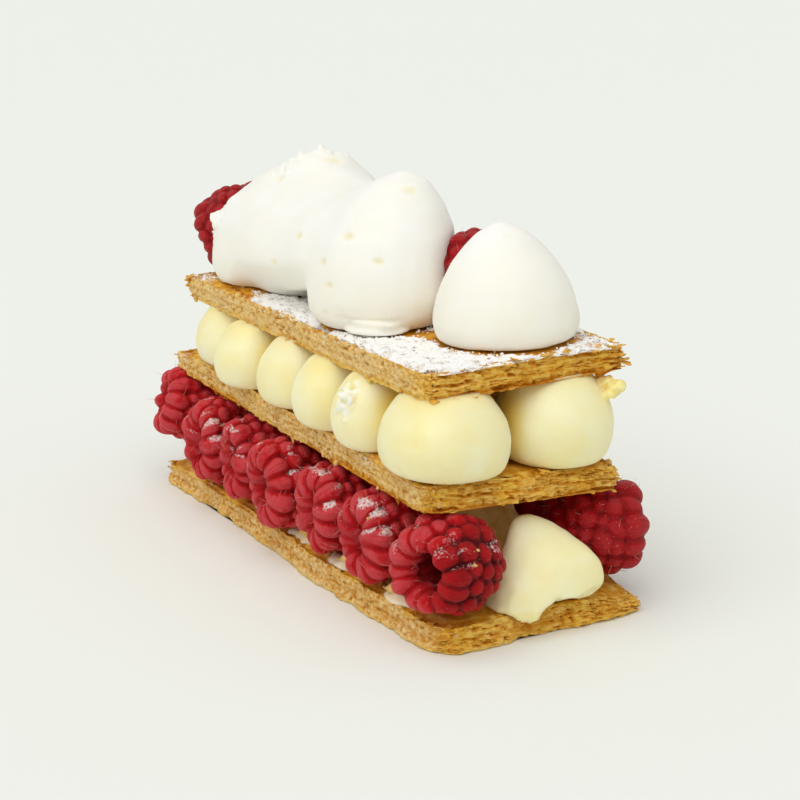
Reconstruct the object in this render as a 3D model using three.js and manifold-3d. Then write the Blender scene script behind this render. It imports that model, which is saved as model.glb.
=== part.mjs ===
// A mille-feuille slice: three sheets of puff pastry with raspberries and a cream core
// between the lower two, pressed dollops of lemon cream between the upper two, and
// whipped cream with two raspberries on top.
// Millimetres. X runs along the slice, Z is up, the origin is the middle of the underside.
import * as THREE from 'three';
import { mergeVertices } from 'three/addons/utils/BufferGeometryUtils.js';
import Module from 'manifold-3d';

// Clearance between pieces that touch, and the unevenness of the pastry's faces
const GAP = 0.32;
const RELIEF = 0.12;

// Pastry sheets: size, place of the middle, turn about Z and lean along and across, in radians.
// In the order [+X -Y, +X +Y, -X -Y, -X +Y], drops are how far the upper face falls at the
// corners, and rounding is how round each corner is in plan, from 0 to 1.
const BOTTOM_SHEET = {
  length: 126.8, width: 46.2, thickness: 5.2, x: 0, y: -0.4, z: 2.6,
  turn: 0, leanX: 0, leanY: 0, drops: [0.4, 2.3, 0.6, 0.8],
  rounding: [1, 0.4, 0.6, 0.5], flatBase: true, seed: 3,
};
const MIDDLE_SHEET = {
  length: 120.2, width: 43.2, thickness: 5, x: -0.56, y: -0.55, z: 28.7,
  turn: -0.032, leanX: -0.012, leanY: -0.034, drops: [0.5, 0.9, 0.8, 0.6],
  rounding: [1, 0.3, 0.4, 0.4], flatBase: false, seed: 7,
};
const TOP_SHEET = {
  length: 116.2, width: 43.4, thickness: 5, x: 0.22, y: 0.93, z: 49.41,
  turn: -0.039, leanX: 0.008, leanY: 0.035, drops: [0.3, 0.7, 0.4, 0.9],
  rounding: [0.9, 0.15, 0.3, 0.3], flatBase: false, seed: 11,
};
const SHEET_CELLS = { along: 22, across: 8, high: 5 };
const CORNER_DROP_REACH = 16;
const EDGE_ROUGHNESS = 0.5;
// How far each row of a sheet's side stands back, from the underside to the upper face
const LAYER_SETBACK = [0.8, 0.1, 0.5, 0, 0.45, 0.65];

// Raspberries lie with their hollow end outwards:
// [x, y, half width, half length, half height, turn of the hollow end from -Y to +X, its lift].
// A half height of 0 fills the space between the sheets.
const FRONT_BERRIES = [
  [-57.2, -16.6, 8.7, 9, 8.8, -0.25, 0.3],
  [-37.2, -17.8, 8.6, 9, 0, 0.05, 0],
  [-19.8, -17.2, 8.3, 8.8, 0, -0.08, 0],
  [-1.5, -19.2, 9.2, 9, 0, 0.06, 0],
  [18.6, -17.6, 9, 9, 0, 0, 0],
  [37, -17.6, 8.8, 9, 0, 0.05, 0],
  [57.2, -16.6, 10.6, 9.8, 0, 0.3, 0],
];
const BACK_BERRIES = [
  [52.2, 18.2, 9.3, 9.4, 9.5, Math.PI - 0.5, 0],
  [32.6, 17.4, 8.8, 9, 0, Math.PI, 0],
  [14, 18.2, 9, 9, 0, Math.PI + 0.08, 0],
  [-4.6, 17.2, 8.9, 9, 0, Math.PI - 0.06, 0],
  [-23.4, 18, 9, 9, 0, Math.PI, 0],
  [-41.8, 17.4, 8.7, 9, 0, Math.PI + 0.06, 0],
  [-58.8, 15.6, 7.9, 8.6, 9.3, Math.PI + 0.2, 0],
];
// The first front berry hangs clear of the bottom sheet, against the middle one
const RAISED_BERRY = 0;
// Berries on the top sheet
const TOP_BERRIES = {
  left: { x: -52.4, y: -6.3, z: 62.3, half: [9.6, 9.6, 9.4], turn: -0.9, lift: -0.4 },
  right: { x: 26.8, y: 6.4, z: 63, half: [8.4, 8.4, 8.4], turn: 2.6, lift: -0.3 },
};

// Lemon cream dollops pressed between the sheets: [x, y, half length along X, half along Y]
const FRONT_DOLLOPS = [
  [-41, -12.6, 9.8, 10.4],
  [-22, -16.4, 8.8, 11],
  [-3.2, -15, 9.6, 11],
  [15, -16.2, 8.2, 11],
  [31.4, -16.4, 7.8, 11],
  [51.5, -15.6, 11.9, 11.9],
];
const BACK_DOLLOPS = [
  [-40.6, 9, 9.6, 10.6],
  [-21.2, 8.4, 9.4, 12],
  [-2, 9.2, 9.4, 11.4],
  [16.4, 8.6, 8.6, 12],
  [32.8, 8.8, 7.4, 12],
  [51.8, 8.4, 11.2, 11.2],
];
// Profile of a dollop: share of the height, share of the width
const DOLLOP_PROFILE = [
  [0, 0.74], [0.1, 0.9], [0.27, 0.98], [0.45, 1], [0.66, 0.93], [0.85, 0.78], [1, 0.6],
];
const DOLLOP_SQUARENESS = 2.3;
// A dab of cream squeezed out at the far end of the front right dollop
const DAB = { x: 58.6, y: 16.8, z: 44.6, half: [3.2, 3, 1.7] };

// Whipped cream: lobes by place, radius and height, and the lean of the crown
const WHIPPED_LEFT = {
  lobes: [{ x: -39, y: -5.5, radius: 13.8, height: 24 }, { x: -24, y: -0.4, radius: 15.8, height: 30.4 }],
  lean: [0, 0],
  profile: [[0, 0.9], [0.1, 0.99], [0.22, 1], [0.42, 0.95], [0.6, 0.86], [0.76, 0.68], [0.92, 0.36]],
};
const WHIPPED_MIDDLE = {
  lobes: [{ x: 14.7, y: -7.3, radius: 14.9, height: 29.6 }],
  lean: [2.2, 3.8],
  profile: [[0, 0.86], [0.08, 0.95], [0.2, 1], [0.4, 0.96], [0.59, 0.86], [0.76, 0.66], [0.93, 0.34]],
};
const WHIPPED_RIGHT = {
  lobes: [{ x: 43, y: 3.5, radius: 13.9, height: 21.9 }],
  lean: [-0.7, -1.2],
  profile: [[0, 0.95], [0.08, 0.99], [0.19, 1], [0.35, 0.94], [0.5, 0.85], [0.66, 0.71], [0.81, 0.5], [0.91, 0.32]],
};
// Cream that runs from the left lump over to the middle one, clear of the sheet
const WHIPPED_BRIDGE = { x: -4.6, y: -4.6, z: 65.8, half: [18, 12.6, 8.8], turn: -0.176 };
const WHIPPED_SIDES = 22;
const LOBE_BLEND = 9;
// The upper part of the hollow that the right top berry leaves is drawn out towards the front end
const POCKET_DRAW = 9;
const POCKET_DRAW_ABOVE = 0.1;

// Slumped lemon cream on the bottom sheet: levels of [share of height, left, right, back, front],
// left and right along SLUMP_SIDE, back and front along SLUMP_FACE, from the origin
const SLUMP_HEIGHT = 15.6;
const SLUMP_SIDE = new THREE.Vector2(0.503, 0.864);
const SLUMP_FACE = new THREE.Vector2(0.864, -0.503);
const SLUMP_LEVELS = [
  [0, 20.4, 42.2, 46, 60.4],
  [0.1, 21.2, 43.2, 45.5, 60],
  [0.28, 23, 43.4, 45.5, 58.4],
  [0.48, 24.8, 42, 45.8, 56],
  [0.68, 26.2, 39.6, 46, 53.6],
  [0.85, 26.6, 36.2, 46, 51.2],
  [0.96, 27.2, 32.6, 46.4, 49.6],
];
const SLUMP_SIDES = 18;
// How far the right of the front is torn back, and the lip that hangs over the sheet's end
const SLUMP_TORN_AWAY = 5;
const SLUMP_LIP = { x: 65.2, y: -4.8, z: 5.4, half: [1.3, 4.4, 2.1] };

// Cream core between the rows of berries: a ridge on a thin bed
const CORE = { start: -51, end: 44.5, bedHalfWidth: 21.6, bedHeight: 2.3, ridgeHalfWidth: 8.6 };

// Berry profile, hollow end first: share of the half length, share of the half width
const BERRY_PROFILE = [
  [-0.5, 0], [-0.62, 0.24], [-0.94, 0.42], [-0.98, 0.66], [-0.7, 0.9],
  [-0.28, 1], [0.14, 0.97], [0.52, 0.82], [0.83, 0.52], [1, 0],
];
const PLAIN_BERRY_PROFILE = [
  [-0.55, 0], [-0.97, 0.4], [-0.8, 0.82], [-0.3, 1], [0.25, 0.95], [0.7, 0.66], [1, 0],
];
const BERRY_POCKET_PROFILE = [
  [-1, 0], [-1, 0.7], [-0.7, 0.95], [-0.25, 1.01], [0.2, 1], [0.56, 0.86], [0.87, 0.56], [1.02, 0],
];
const BERRY_SIDES = 16;
const PLAIN_BERRY_SIDES = 12;
const DRUPELET_DEPTH = 0.11;
// Room above a berry for the lean of the sheet over it
const BERRY_HEADROOM = 0.3;

const COLOURS = {
  pastry: 0xc99a4e, berry: 0x9c1526, lemon: 0xf0e3a4, whipped: 0xf6f1e6, core: 0xe6d8bb,
};

const wasm = await Module();
wasm.setup();

// Seeded smooth noise between -1 and 1
function latticeValue(i, j, k, seed) {
  const s = Math.sin(i * 127.1 + j * 311.7 + k * 74.7 + seed * 53.3) * 43758.5453;
  return 2 * (s - Math.floor(s)) - 1;
}

function noise(x, y, z, seed) {
  const [i, j, k] = [Math.floor(x), Math.floor(y), Math.floor(z)];
  const ease = (t) => t * t * (3 - 2 * t);
  const [u, v, w] = [ease(x - i), ease(y - j), ease(z - k)];
  const row = (b, c) => THREE.MathUtils.lerp(
    latticeValue(i, j + b, k + c, seed), latticeValue(i + 1, j + b, k + c, seed), u);
  const sheet = (c) => THREE.MathUtils.lerp(row(0, c), row(1, c), v);
  return THREE.MathUtils.lerp(sheet(0), sheet(1), w);
}

// A geometry as one closed body of shared corners, facing out
function closed(geometry) {
  const bare = geometry.clone();
  bare.deleteAttribute('normal');
  bare.deleteAttribute('uv');
  const merged = mergeVertices(bare, 1e-4);
  const index = [];
  for (let i = 0; i < merged.index.count; i += 3) {
    const [a, b, c] = [0, 1, 2].map((n) => merged.index.getX(i + n));
    if (a !== b && b !== c && c !== a) index.push(a, b, c);
  }
  merged.setIndex(index);
  return merged;
}

function signedVolume(geometry) {
  const place = geometry.getAttribute('position');
  const corner = [new THREE.Vector3(), new THREE.Vector3(), new THREE.Vector3()];
  let volume = 0;
  for (let i = 0; i < geometry.index.count; i += 3) {
    corner.forEach((c, n) => c.fromBufferAttribute(place, geometry.index.getX(i + n)));
    volume += corner[0].dot(corner[1].cross(corner[2])) / 6;
  }
  return volume;
}

function turnedOut(geometry) {
  if (signedVolume(geometry) < 0) geometry.setIndex(Array.from(geometry.index.array).reverse());
  return geometry;
}

// Moves every corner of a closed body with move(point), and keeps it facing out
function reshaped(geometry, move) {
  const body = closed(geometry);
  const place = body.getAttribute('position');
  const point = new THREE.Vector3();
  for (let i = 0; i < place.count; i += 1) {
    point.fromBufferAttribute(place, i);
    move(point);
    place.setXYZ(i, point.x, point.y, point.z);
  }
  return turnedOut(body);
}

// Joins and cuts
function solidOf(geometry) {
  return new wasm.Manifold(new wasm.Mesh({
    numProp: 3,
    vertProperties: new Float32Array(geometry.getAttribute('position').array),
    triVerts: new Uint32Array(geometry.index.array),
  }));
}

function geometryOf(solid) {
  const mesh = solid.getMesh();
  const geometry = new THREE.BufferGeometry();
  geometry.setAttribute('position', new THREE.BufferAttribute(mesh.vertProperties, 3));
  geometry.setIndex(Array.from(mesh.triVerts));
  return geometry;
}

function largestBody(solid) {
  return solid.decompose().reduce((best, one) => (one.volume() > best.volume() ? one : best));
}

function cutBy(geometry, cutters) {
  const left = cutters.reduce((body, cutter) => body.subtract(solidOf(cutter)), solidOf(geometry));
  return geometryOf(largestBody(left));
}

// Named meshes
function mesh(name, geometry, colour, roughness) {
  const material = new THREE.MeshStandardMaterial({ color: colour, roughness, metalness: 0 });
  const made = new THREE.Mesh(geometry, material);
  made.name = name;
  return made;
}

// Height of a sheet's upper face (side 1) or underside (side -1) over a place
function faceHeight(sheet, x, y, side) {
  const place = new THREE.Vector2(x - sheet.x, y - sheet.y);
  place.rotateAround(new THREE.Vector2(), -sheet.turn);
  return sheet.z + side * sheet.thickness / 2 + sheet.leanX * place.x + sheet.leanY * place.y;
}

const above = (sheet, x, y) => faceHeight(sheet, x, y, 1) + RELIEF + GAP;
const below = (sheet, x, y) => faceHeight(sheet, x, y, -1) - RELIEF - GAP;

// Puff pastry: a box with rounded corners, ragged sides set back layer by layer, uneven faces
function cornerDrop(sheet, x, y) {
  const corners = [[1, -1], [1, 1], [-1, -1], [-1, 1]];
  return corners.reduce((sum, [sx, sy], n) => {
    const away = Math.hypot(x - sx * sheet.length / 2, y - sy * sheet.width / 2);
    return sum + sheet.drops[n] * (1 - THREE.MathUtils.smoothstep(away, 0, CORNER_DROP_REACH));
  }, 0);
}

function roundCorner(point, sheet) {
  const cell = { x: sheet.length / SHEET_CELLS.along, y: sheet.width / SHEET_CELLS.across };
  const over = {
    x: Math.max(0, Math.abs(point.x) - sheet.length / 2 + cell.x) / cell.x,
    y: Math.max(0, Math.abs(point.y) - sheet.width / 2 + cell.y) / cell.y,
  };
  if (over.x === 0 || over.y === 0) return;
  const corner = (point.x > 0 ? 0 : 2) + (point.y > 0 ? 1 : 0);
  const pull = sheet.rounding[corner] * (1 - Math.max(over.x, over.y) / Math.hypot(over.x, over.y));
  point.x -= Math.sign(point.x) * over.x * pull * cell.x;
  point.y -= Math.sign(point.y) * over.y * pull * cell.y;
}

function sheetGeometry(sheet) {
  const { along, across, high } = SHEET_CELLS;
  const half = { x: sheet.length / 2, y: sheet.width / 2, z: sheet.thickness / 2 };
  const box = new THREE.BoxGeometry(sheet.length, sheet.width, sheet.thickness, along, across, high);
  return reshaped(box, (point) => {
    const onEndSide = Math.abs(point.x) > half.x - 0.01;
    const onLongSide = Math.abs(point.y) > half.y - 0.01;
    const onTop = point.z > half.z - 0.01;
    const onUnderside = point.z < 0.01 - half.z;
    const row = Math.round((point.z / half.z + 1) / 2 * high);
    const rough = noise(point.x / 5, point.y / 5, row * 0.6, sheet.seed);
    const setback = LAYER_SETBACK[row] + EDGE_ROUGHNESS * rough;
    const lift = RELIEF * noise(point.x / 7, point.y / 7, 0, sheet.seed + 1);
    const drop = cornerDrop(sheet, point.x, point.y) * (point.z / half.z + 1) / 2;
    roundCorner(point, sheet);
    if (onEndSide) point.x -= Math.sign(point.x) * setback;
    if (onLongSide) point.y -= Math.sign(point.y) * setback;
    if (!onUnderside) point.z -= drop;
    if (onTop) point.z += lift;
    if (onUnderside && !sheet.flatBase) point.z += lift;
    const height = point.z + sheet.leanX * point.x + sheet.leanY * point.y;
    const plan = new THREE.Vector2(point.x, point.y).rotateAround(new THREE.Vector2(), sheet.turn);
    point.set(plan.x + sheet.x, plan.y + sheet.y, height + sheet.z);
  });
}

// Raspberries: turned about their own axis, with drupelets standing out in staggered rows
function berryGeometry(profile, sides, depth) {
  const lathe = new THREE.LatheGeometry(profile.map(([along, out]) => new THREE.Vector2(out, along)), sides);
  return reshaped(lathe, (point) => {
    const turn = Math.round(Math.atan2(point.x, point.z) / (2 * Math.PI) * sides);
    const row = profile.findIndex(([along]) => Math.abs(along - point.y) < 0.01);
    const low = (((turn + row) % 2) + 2) % 2 === 1;
    const keep = low ? 1 - depth : 1;
    point.set(point.x * keep, point.z * keep, point.y);
  });
}

// A frame whose X runs across the berry, Y up it and Z from its hollow end to its tip
function berryFrame({ turn, lift }) {
  const away = Math.cos(lift);
  const tip = new THREE.Vector3(-Math.sin(turn) * away, Math.cos(turn) * away, -Math.sin(lift));
  const across = new THREE.Vector3(Math.cos(turn), Math.sin(turn), 0);
  const basis = new THREE.Matrix4().makeBasis(across, tip.clone().cross(across), tip);
  return new THREE.Quaternion().setFromRotationMatrix(basis);
}

function placedBerry(name, berry, plain) {
  const profile = plain ? PLAIN_BERRY_PROFILE : BERRY_PROFILE;
  const geometry = berryGeometry(profile, plain ? PLAIN_BERRY_SIDES : BERRY_SIDES, DRUPELET_DEPTH);
  const [halfWidth, halfLength, halfHeight] = berry.half;
  geometry.scale(halfWidth, halfHeight, halfLength);
  const made = mesh(name, geometry, COLOURS.berry, 0.5);
  made.quaternion.copy(berryFrame(berry));
  made.position.set(berry.x, berry.y, berry.z);
  return made;
}

// The room that a berry takes, a little larger than the berry, as a cutter
function pocket(berry) {
  const room = berryGeometry(BERRY_POCKET_PROFILE, PLAIN_BERRY_SIDES, 0);
  const facets = 1 / Math.cos(Math.PI / PLAIN_BERRY_SIDES);
  const [halfWidth, halfLength, halfHeight] = berry.half.map((size) => size + GAP);
  room.scale(halfWidth * facets, halfHeight * facets, halfLength);
  room.applyQuaternion(berryFrame(berry));
  return room.translate(berry.x, berry.y, berry.z);
}

function rowBerry([x, y, halfWidth, halfLength, halfHeight, turn, lift], raised) {
  const floor = above(BOTTOM_SHEET, x, y);
  const ceiling = below(MIDDLE_SHEET, x, y) - BERRY_HEADROOM;
  const high = halfHeight || (ceiling - floor) / 2;
  const z = raised ? ceiling - high : floor + high;
  return { x, y, z, half: [halfWidth, halfLength, high], turn, lift };
}

// Lemon cream: barrels between two leaning faces, squarish where they press together
function dollopGeometry([x, y, halfX, halfY], seed) {
  const outline = DOLLOP_PROFILE.map(([high, wide]) => new THREE.Vector2(wide, high));
  const profile = [new THREE.Vector2(0, 0), ...outline, new THREE.Vector2(0, 1)];
  return reshaped(new THREE.LatheGeometry(profile, 12), (point) => {
    const out = Math.hypot(point.x, point.z);
    const turn = Math.atan2(point.z, point.x);
    const [c, s] = [Math.abs(Math.cos(turn)), Math.abs(Math.sin(turn))];
    const square = (c ** DOLLOP_SQUARENESS + s ** DOLLOP_SQUARENESS) ** (-1 / DOLLOP_SQUARENESS);
    const uneven = 1 - 0.02 * (1 + noise(turn + 4, point.y * 2, 0, seed)) * (1 - c);
    const [px, py] = [x + halfX * out * square * Math.cos(turn), y + halfY * out * square * uneven * Math.sin(turn)];
    const [low, high] = [above(MIDDLE_SHEET, px, py), below(TOP_SHEET, px, py)];
    point.set(px, py, low + (high - low) * point.y);
  });
}

function lumpGeometry({ x, y, z, half, turn = 0 }, sides = 8) {
  const ball = new THREE.SphereGeometry(1, sides, sides * 0.75);
  const lump = reshaped(ball, (point) => point.multiply(new THREE.Vector3(...half)));
  return lump.rotateZ(turn).translate(x, y, z);
}

// Whipped cream: rings of blended lobes on the top sheet
function lobeReach(lobe, profile, height, centre, turn) {
  const share = height / lobe.height;
  if (share > 1) return 0;
  const levels = [...profile, [1, 0]];
  const n = Math.max(1, levels.findIndex(([high]) => high >= share));
  const part = (share - levels[n - 1][0]) / (levels[n][0] - levels[n - 1][0]);
  const radius = lobe.radius * THREE.MathUtils.lerp(levels[n - 1][1], levels[n][1], part);
  const away = new THREE.Vector2(lobe.x, lobe.y).sub(centre);
  const ray = new THREE.Vector2(Math.cos(turn), Math.sin(turn));
  const beside = away.cross(ray);
  return Math.abs(beside) > radius ? 0 : away.dot(ray) + Math.sqrt(radius * radius - beside * beside);
}

// A soft maximum, so that one lobe runs smoothly into the next
function blended(reaches) {
  return reaches.reduce((sum, reach) => sum + Math.max(0, reach) ** LOBE_BLEND, 0) ** (1 / LOBE_BLEND);
}

function ringCentre(cream, height) {
  const weights = cream.lobes.map((lobe) => (Math.max(0, 1 - height / lobe.height) * lobe.radius) ** 2);
  const total = weights.reduce((sum, weight) => sum + weight, 0);
  const tallest = cream.lobes[cream.lobes.length - 1];
  if (total < 1e-6) return new THREE.Vector2(tallest.x, tallest.y);
  const mean = (key) => cream.lobes.reduce((sum, lobe, n) => sum + lobe[key] * weights[n], 0) / total;
  return new THREE.Vector2(mean('x'), mean('y'));
}

function whippedGeometry(cream) {
  const top = cream.lobes[cream.lobes.length - 1].height;
  const outline = cream.profile.map(([high]) => new THREE.Vector2(1, high));
  const profile = [new THREE.Vector2(0, 0), ...outline, new THREE.Vector2(0, 1)];
  return reshaped(new THREE.LatheGeometry(profile, WHIPPED_SIDES), (point) => {
    const height = point.y * top;
    const centre = ringCentre(cream, height);
    const turn = Math.atan2(point.z, point.x);
    const reaches = cream.lobes.map((lobe) => lobeReach(lobe, cream.profile, height, centre, turn));
    const reach = Math.hypot(point.x, point.z) * blended(reaches);
    const lean = point.y * point.y;
    const x = centre.x + reach * Math.cos(turn) + cream.lean[0] * lean;
    const y = centre.y + reach * Math.sin(turn) + cream.lean[1] * lean;
    point.set(x, y, above(TOP_SHEET, x, y) + height);
  });
}

// The room that a lump of whipped cream takes, a little larger than the lump, as a cutter
function whippedRoom(cream) {
  const grown = cream.lobes.map((lobe) => (
    { ...lobe, radius: lobe.radius + 1.3 * GAP, height: lobe.height + 1.3 * GAP }
  ));
  return whippedGeometry({ ...cream, lobes: grown });
}

// The hollow round a berry, drawn out towards the front end
function drawnPocket(berry, draw) {
  const room = pocket(berry);
  return reshaped(room, (point) => {
    const ahead = (point.x - berry.x) * SLUMP_FACE.x + (point.y - berry.y) * SLUMP_FACE.y;
    if (ahead <= 0 || point.z < berry.z + POCKET_DRAW_ABOVE) return;
    const push = draw * ahead / berry.half[0];
    point.x += push * SLUMP_FACE.x;
    point.y += push * SLUMP_FACE.y;
  });
}

// Slumped lemon cream: rings whose left, right, back and front are named level by level
function slumpGeometry() {
  const outline = SLUMP_LEVELS.map(([high]) => new THREE.Vector2(1, high));
  const profile = [new THREE.Vector2(0, 0), ...outline, new THREE.Vector2(0, 1)];
  const last = SLUMP_LEVELS[SLUMP_LEVELS.length - 1];
  const body = reshaped(new THREE.LatheGeometry(profile, SLUMP_SIDES), (point) => {
    const level = SLUMP_LEVELS.find(([high]) => Math.abs(high - point.y) < 0.001) || last;
    const [, left, right, back, front] = level;
    const onAxis = Math.hypot(point.x, point.z) < 0.001;
    const turn = Math.atan2(point.z, point.x);
    const side = (left + right) / 2 + (onAxis ? 0 : (right - left) / 2 * Math.cos(turn));
    const torn = SLUMP_TORN_AWAY * Math.max(0, Math.cos(turn)) * Math.max(0, Math.sin(turn));
    const face = (back + front) / 2 + (onAxis ? 0 : (front - back) / 2 * Math.sin(turn) - torn);
    const plan = SLUMP_SIDE.clone().multiplyScalar(side).addScaledVector(SLUMP_FACE, face);
    plan.x = Math.min(plan.x, SLUMP_LIP.x);
    point.set(plan.x, plan.y, above(BOTTOM_SHEET, plan.x, plan.y) + point.y * SLUMP_HEIGHT);
  });
  return geometryOf(solidOf(body).add(solidOf(lumpGeometry(SLUMP_LIP))));
}

// Cream core: a box drawn up into a ridge, hollowed where the berries press into it
function coreGeometry(berries) {
  const length = CORE.end - CORE.start;
  const box = new THREE.BoxGeometry(length, 2 * CORE.bedHalfWidth, 1, 12, 12, 1);
  const body = reshaped(box, (point) => {
    const x = point.x + (CORE.start + CORE.end) / 2;
    const toEnd = Math.min(x - CORE.start, CORE.end - x);
    const wander = 1.2 * noise(x / 9, 0, 0, 21);
    const y = point.y + wander * Math.abs(point.y) / CORE.bedHalfWidth;
    const ridge = 1 - THREE.MathUtils.smoothstep(Math.abs(y), CORE.ridgeHalfWidth * 0.7, CORE.ridgeHalfWidth * 1.5);
    const endFall = THREE.MathUtils.smoothstep(toEnd, -3, 7);
    const floor = above(BOTTOM_SHEET, x, y);
    const ceiling = below(MIDDLE_SHEET, x, y);
    const bed = floor + CORE.bedHeight;
    const roof = bed + (ceiling - bed) * ridge * endFall;
    point.set(x, y, point.z > 0 ? roof : floor);
  });
  return cutBy(body, berries.map(pocket));
}

// Everything in its place
const slice = new THREE.Group();

function addSheets() {
  const sheets = { pastry_bottom: BOTTOM_SHEET, pastry_middle: MIDDLE_SHEET, pastry_top: TOP_SHEET };
  for (const [name, sheet] of Object.entries(sheets)) {
    slice.add(mesh(name, sheetGeometry(sheet), COLOURS.pastry, 0.8));
  }
}

function addRowsOfBerries() {
  const front = FRONT_BERRIES.map((row, n) => rowBerry(row, n === RAISED_BERRY));
  const back = BACK_BERRIES.map((row) => rowBerry(row, false));
  front.forEach((berry, n) => slice.add(placedBerry(`berry_front_${n + 1}`, berry, false)));
  back.forEach((berry, n) => slice.add(placedBerry(`berry_back_${n + 1}`, berry, n > 0)));
  return [...front, ...back];
}

function addDollops() {
  FRONT_DOLLOPS.forEach((dollop, n) => {
    slice.add(mesh(`lemon_front_${n + 1}`, dollopGeometry(dollop, 30 + n), COLOURS.lemon, 0.45));
  });
  BACK_DOLLOPS.forEach((dollop, n) => {
    const barrel = dollopGeometry(dollop, 40 + n);
    const isEnd = n === BACK_DOLLOPS.length - 1;
    const body = isEnd ? geometryOf(solidOf(barrel).add(solidOf(lumpGeometry(DAB)))) : barrel;
    slice.add(mesh(`lemon_back_${n + 1}`, body, COLOURS.lemon, 0.45));
  });
}

function addTopping() {
  const { left, right } = TOP_BERRIES;
  const leftBody = solidOf(whippedGeometry(WHIPPED_LEFT)).add(solidOf(lumpGeometry(WHIPPED_BRIDGE, 16)));
  const creams = {
    whipped_left: cutBy(geometryOf(leftBody), [whippedRoom(WHIPPED_MIDDLE), pocket(left)]),
    whipped_middle: cutBy(whippedGeometry(WHIPPED_MIDDLE), [drawnPocket(right, POCKET_DRAW)]),
    whipped_right: cutBy(whippedGeometry(WHIPPED_RIGHT), [pocket(right)]),
  };
  for (const [name, geometry] of Object.entries(creams)) {
    slice.add(mesh(name, geometry, COLOURS.whipped, 0.6));
  }
  for (const [side, berry] of Object.entries(TOP_BERRIES)) {
    slice.add(placedBerry(`berry_top_${side}`, berry, false));
  }
}

addSheets();
const rowBerries = addRowsOfBerries();
slice.add(mesh('cream_core', coreGeometry(rowBerries), COLOURS.core, 0.6));
slice.add(mesh('lemon_slump', cutBy(slumpGeometry(), rowBerries.map(pocket)), COLOURS.lemon, 0.45));
addDollops();
addTopping();

export default slice;
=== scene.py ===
"""Raspberry mille-feuille slice: its looks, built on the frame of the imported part.

Lengths in the tables are millimetres, as in the part's source, and are turned to metres where a mesh is made.
"""

from __future__ import annotations

import logging
import math
from dataclasses import dataclass
from enum import Enum
from typing import Any, Sequence

import bpy
import numpy as np
from mathutils import Matrix, Vector

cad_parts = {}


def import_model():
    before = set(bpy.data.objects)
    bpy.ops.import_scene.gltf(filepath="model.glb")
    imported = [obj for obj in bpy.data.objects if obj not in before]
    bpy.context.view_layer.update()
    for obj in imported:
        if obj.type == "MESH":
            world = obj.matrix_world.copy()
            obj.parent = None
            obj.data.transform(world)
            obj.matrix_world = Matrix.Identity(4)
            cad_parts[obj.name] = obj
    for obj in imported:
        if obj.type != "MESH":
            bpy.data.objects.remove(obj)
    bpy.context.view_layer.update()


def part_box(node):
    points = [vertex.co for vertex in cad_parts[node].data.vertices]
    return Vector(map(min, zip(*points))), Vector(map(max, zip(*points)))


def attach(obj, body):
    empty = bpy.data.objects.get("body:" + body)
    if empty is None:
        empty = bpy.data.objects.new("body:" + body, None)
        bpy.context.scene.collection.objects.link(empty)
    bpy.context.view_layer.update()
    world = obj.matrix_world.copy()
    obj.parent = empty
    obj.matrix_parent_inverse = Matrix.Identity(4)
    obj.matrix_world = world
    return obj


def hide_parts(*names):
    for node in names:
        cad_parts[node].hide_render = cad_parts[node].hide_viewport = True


MM = 0.001
LOG = logging.getLogger("mille-feuille")
Points = np.ndarray
Piece = bpy.types.Object
Socket = bpy.types.NodeSocket
# a small shape for copying: its vertices in millimetres and the vertex numbers of its faces
Shape = tuple[np.ndarray, np.ndarray]
# a spot in the slice: x, y, z, its radius and its strength
Spot = tuple[float, float, float, float, float]


class Row(Enum):
    """The rows of dollops."""

    FRONT = "front"
    BACK = "back"


class Face(Enum):
    """The faces of a sheet, as signs along its thickness."""

    UPPER = 1
    LOWER = -1


class Edge(Enum):
    """The edges of a sheet, as the axis that they face along."""

    ENDS = 0
    LONG_SIDES = 1


# ---------------------------------------------------------------- numbers


def linear(colour: str) -> tuple[float, float, float, float]:
    """Turns an sRGB colour to linear light.

    Args:
        colour: six hex digits.

    Returns:
        Red, green, blue and an alpha of 1.
    """
    shares = [int(colour[n : n + 2], 16) / 255 for n in (0, 2, 4)]
    lit = [s / 12.92 if s <= 0.04045 else ((s + 0.055) / 1.055) ** 2.4 for s in shares]
    return (lit[0], lit[1], lit[2], 1.0)


def step(low: float, high: float, values: Points) -> Points:
    """Runs smoothly from 0 at low to 1 at high.

    Args:
        low: where the result is 0.
        high: where the result is 1.
        values: the numbers to place between them.

    Returns:
        Numbers from 0 to 1.
    """
    share = np.clip((values - low) / (high - low), 0, 1)
    return share * share * (3 - 2 * share)


def lattice(cells: Points, seed: int) -> Points:
    """Gives every cell of a grid its own number.

    Args:
        cells: whole-number places, three to a row.
        seed: picks another set of numbers.

    Returns:
        One number from -1 to 1 for each row.
    """
    c = cells.astype(np.int64).astype(np.uint64)
    mixed = c[:, 0] * np.uint64(374761393) + c[:, 1] * np.uint64(668265263) + c[:, 2] * np.uint64(2246822519)
    mixed = (mixed + np.uint64(seed * 3266489917 + 1013904223)) & np.uint64(0xFFFFFFFF)
    mixed = ((mixed ^ (mixed >> np.uint64(15))) * np.uint64(2246822519)) & np.uint64(0xFFFFFFFF)
    mixed = ((mixed ^ (mixed >> np.uint64(13))) * np.uint64(3266489917)) & np.uint64(0xFFFFFFFF)
    return (mixed ^ (mixed >> np.uint64(16))).astype(float) / 0xFFFFFFFF * 2 - 1


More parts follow.
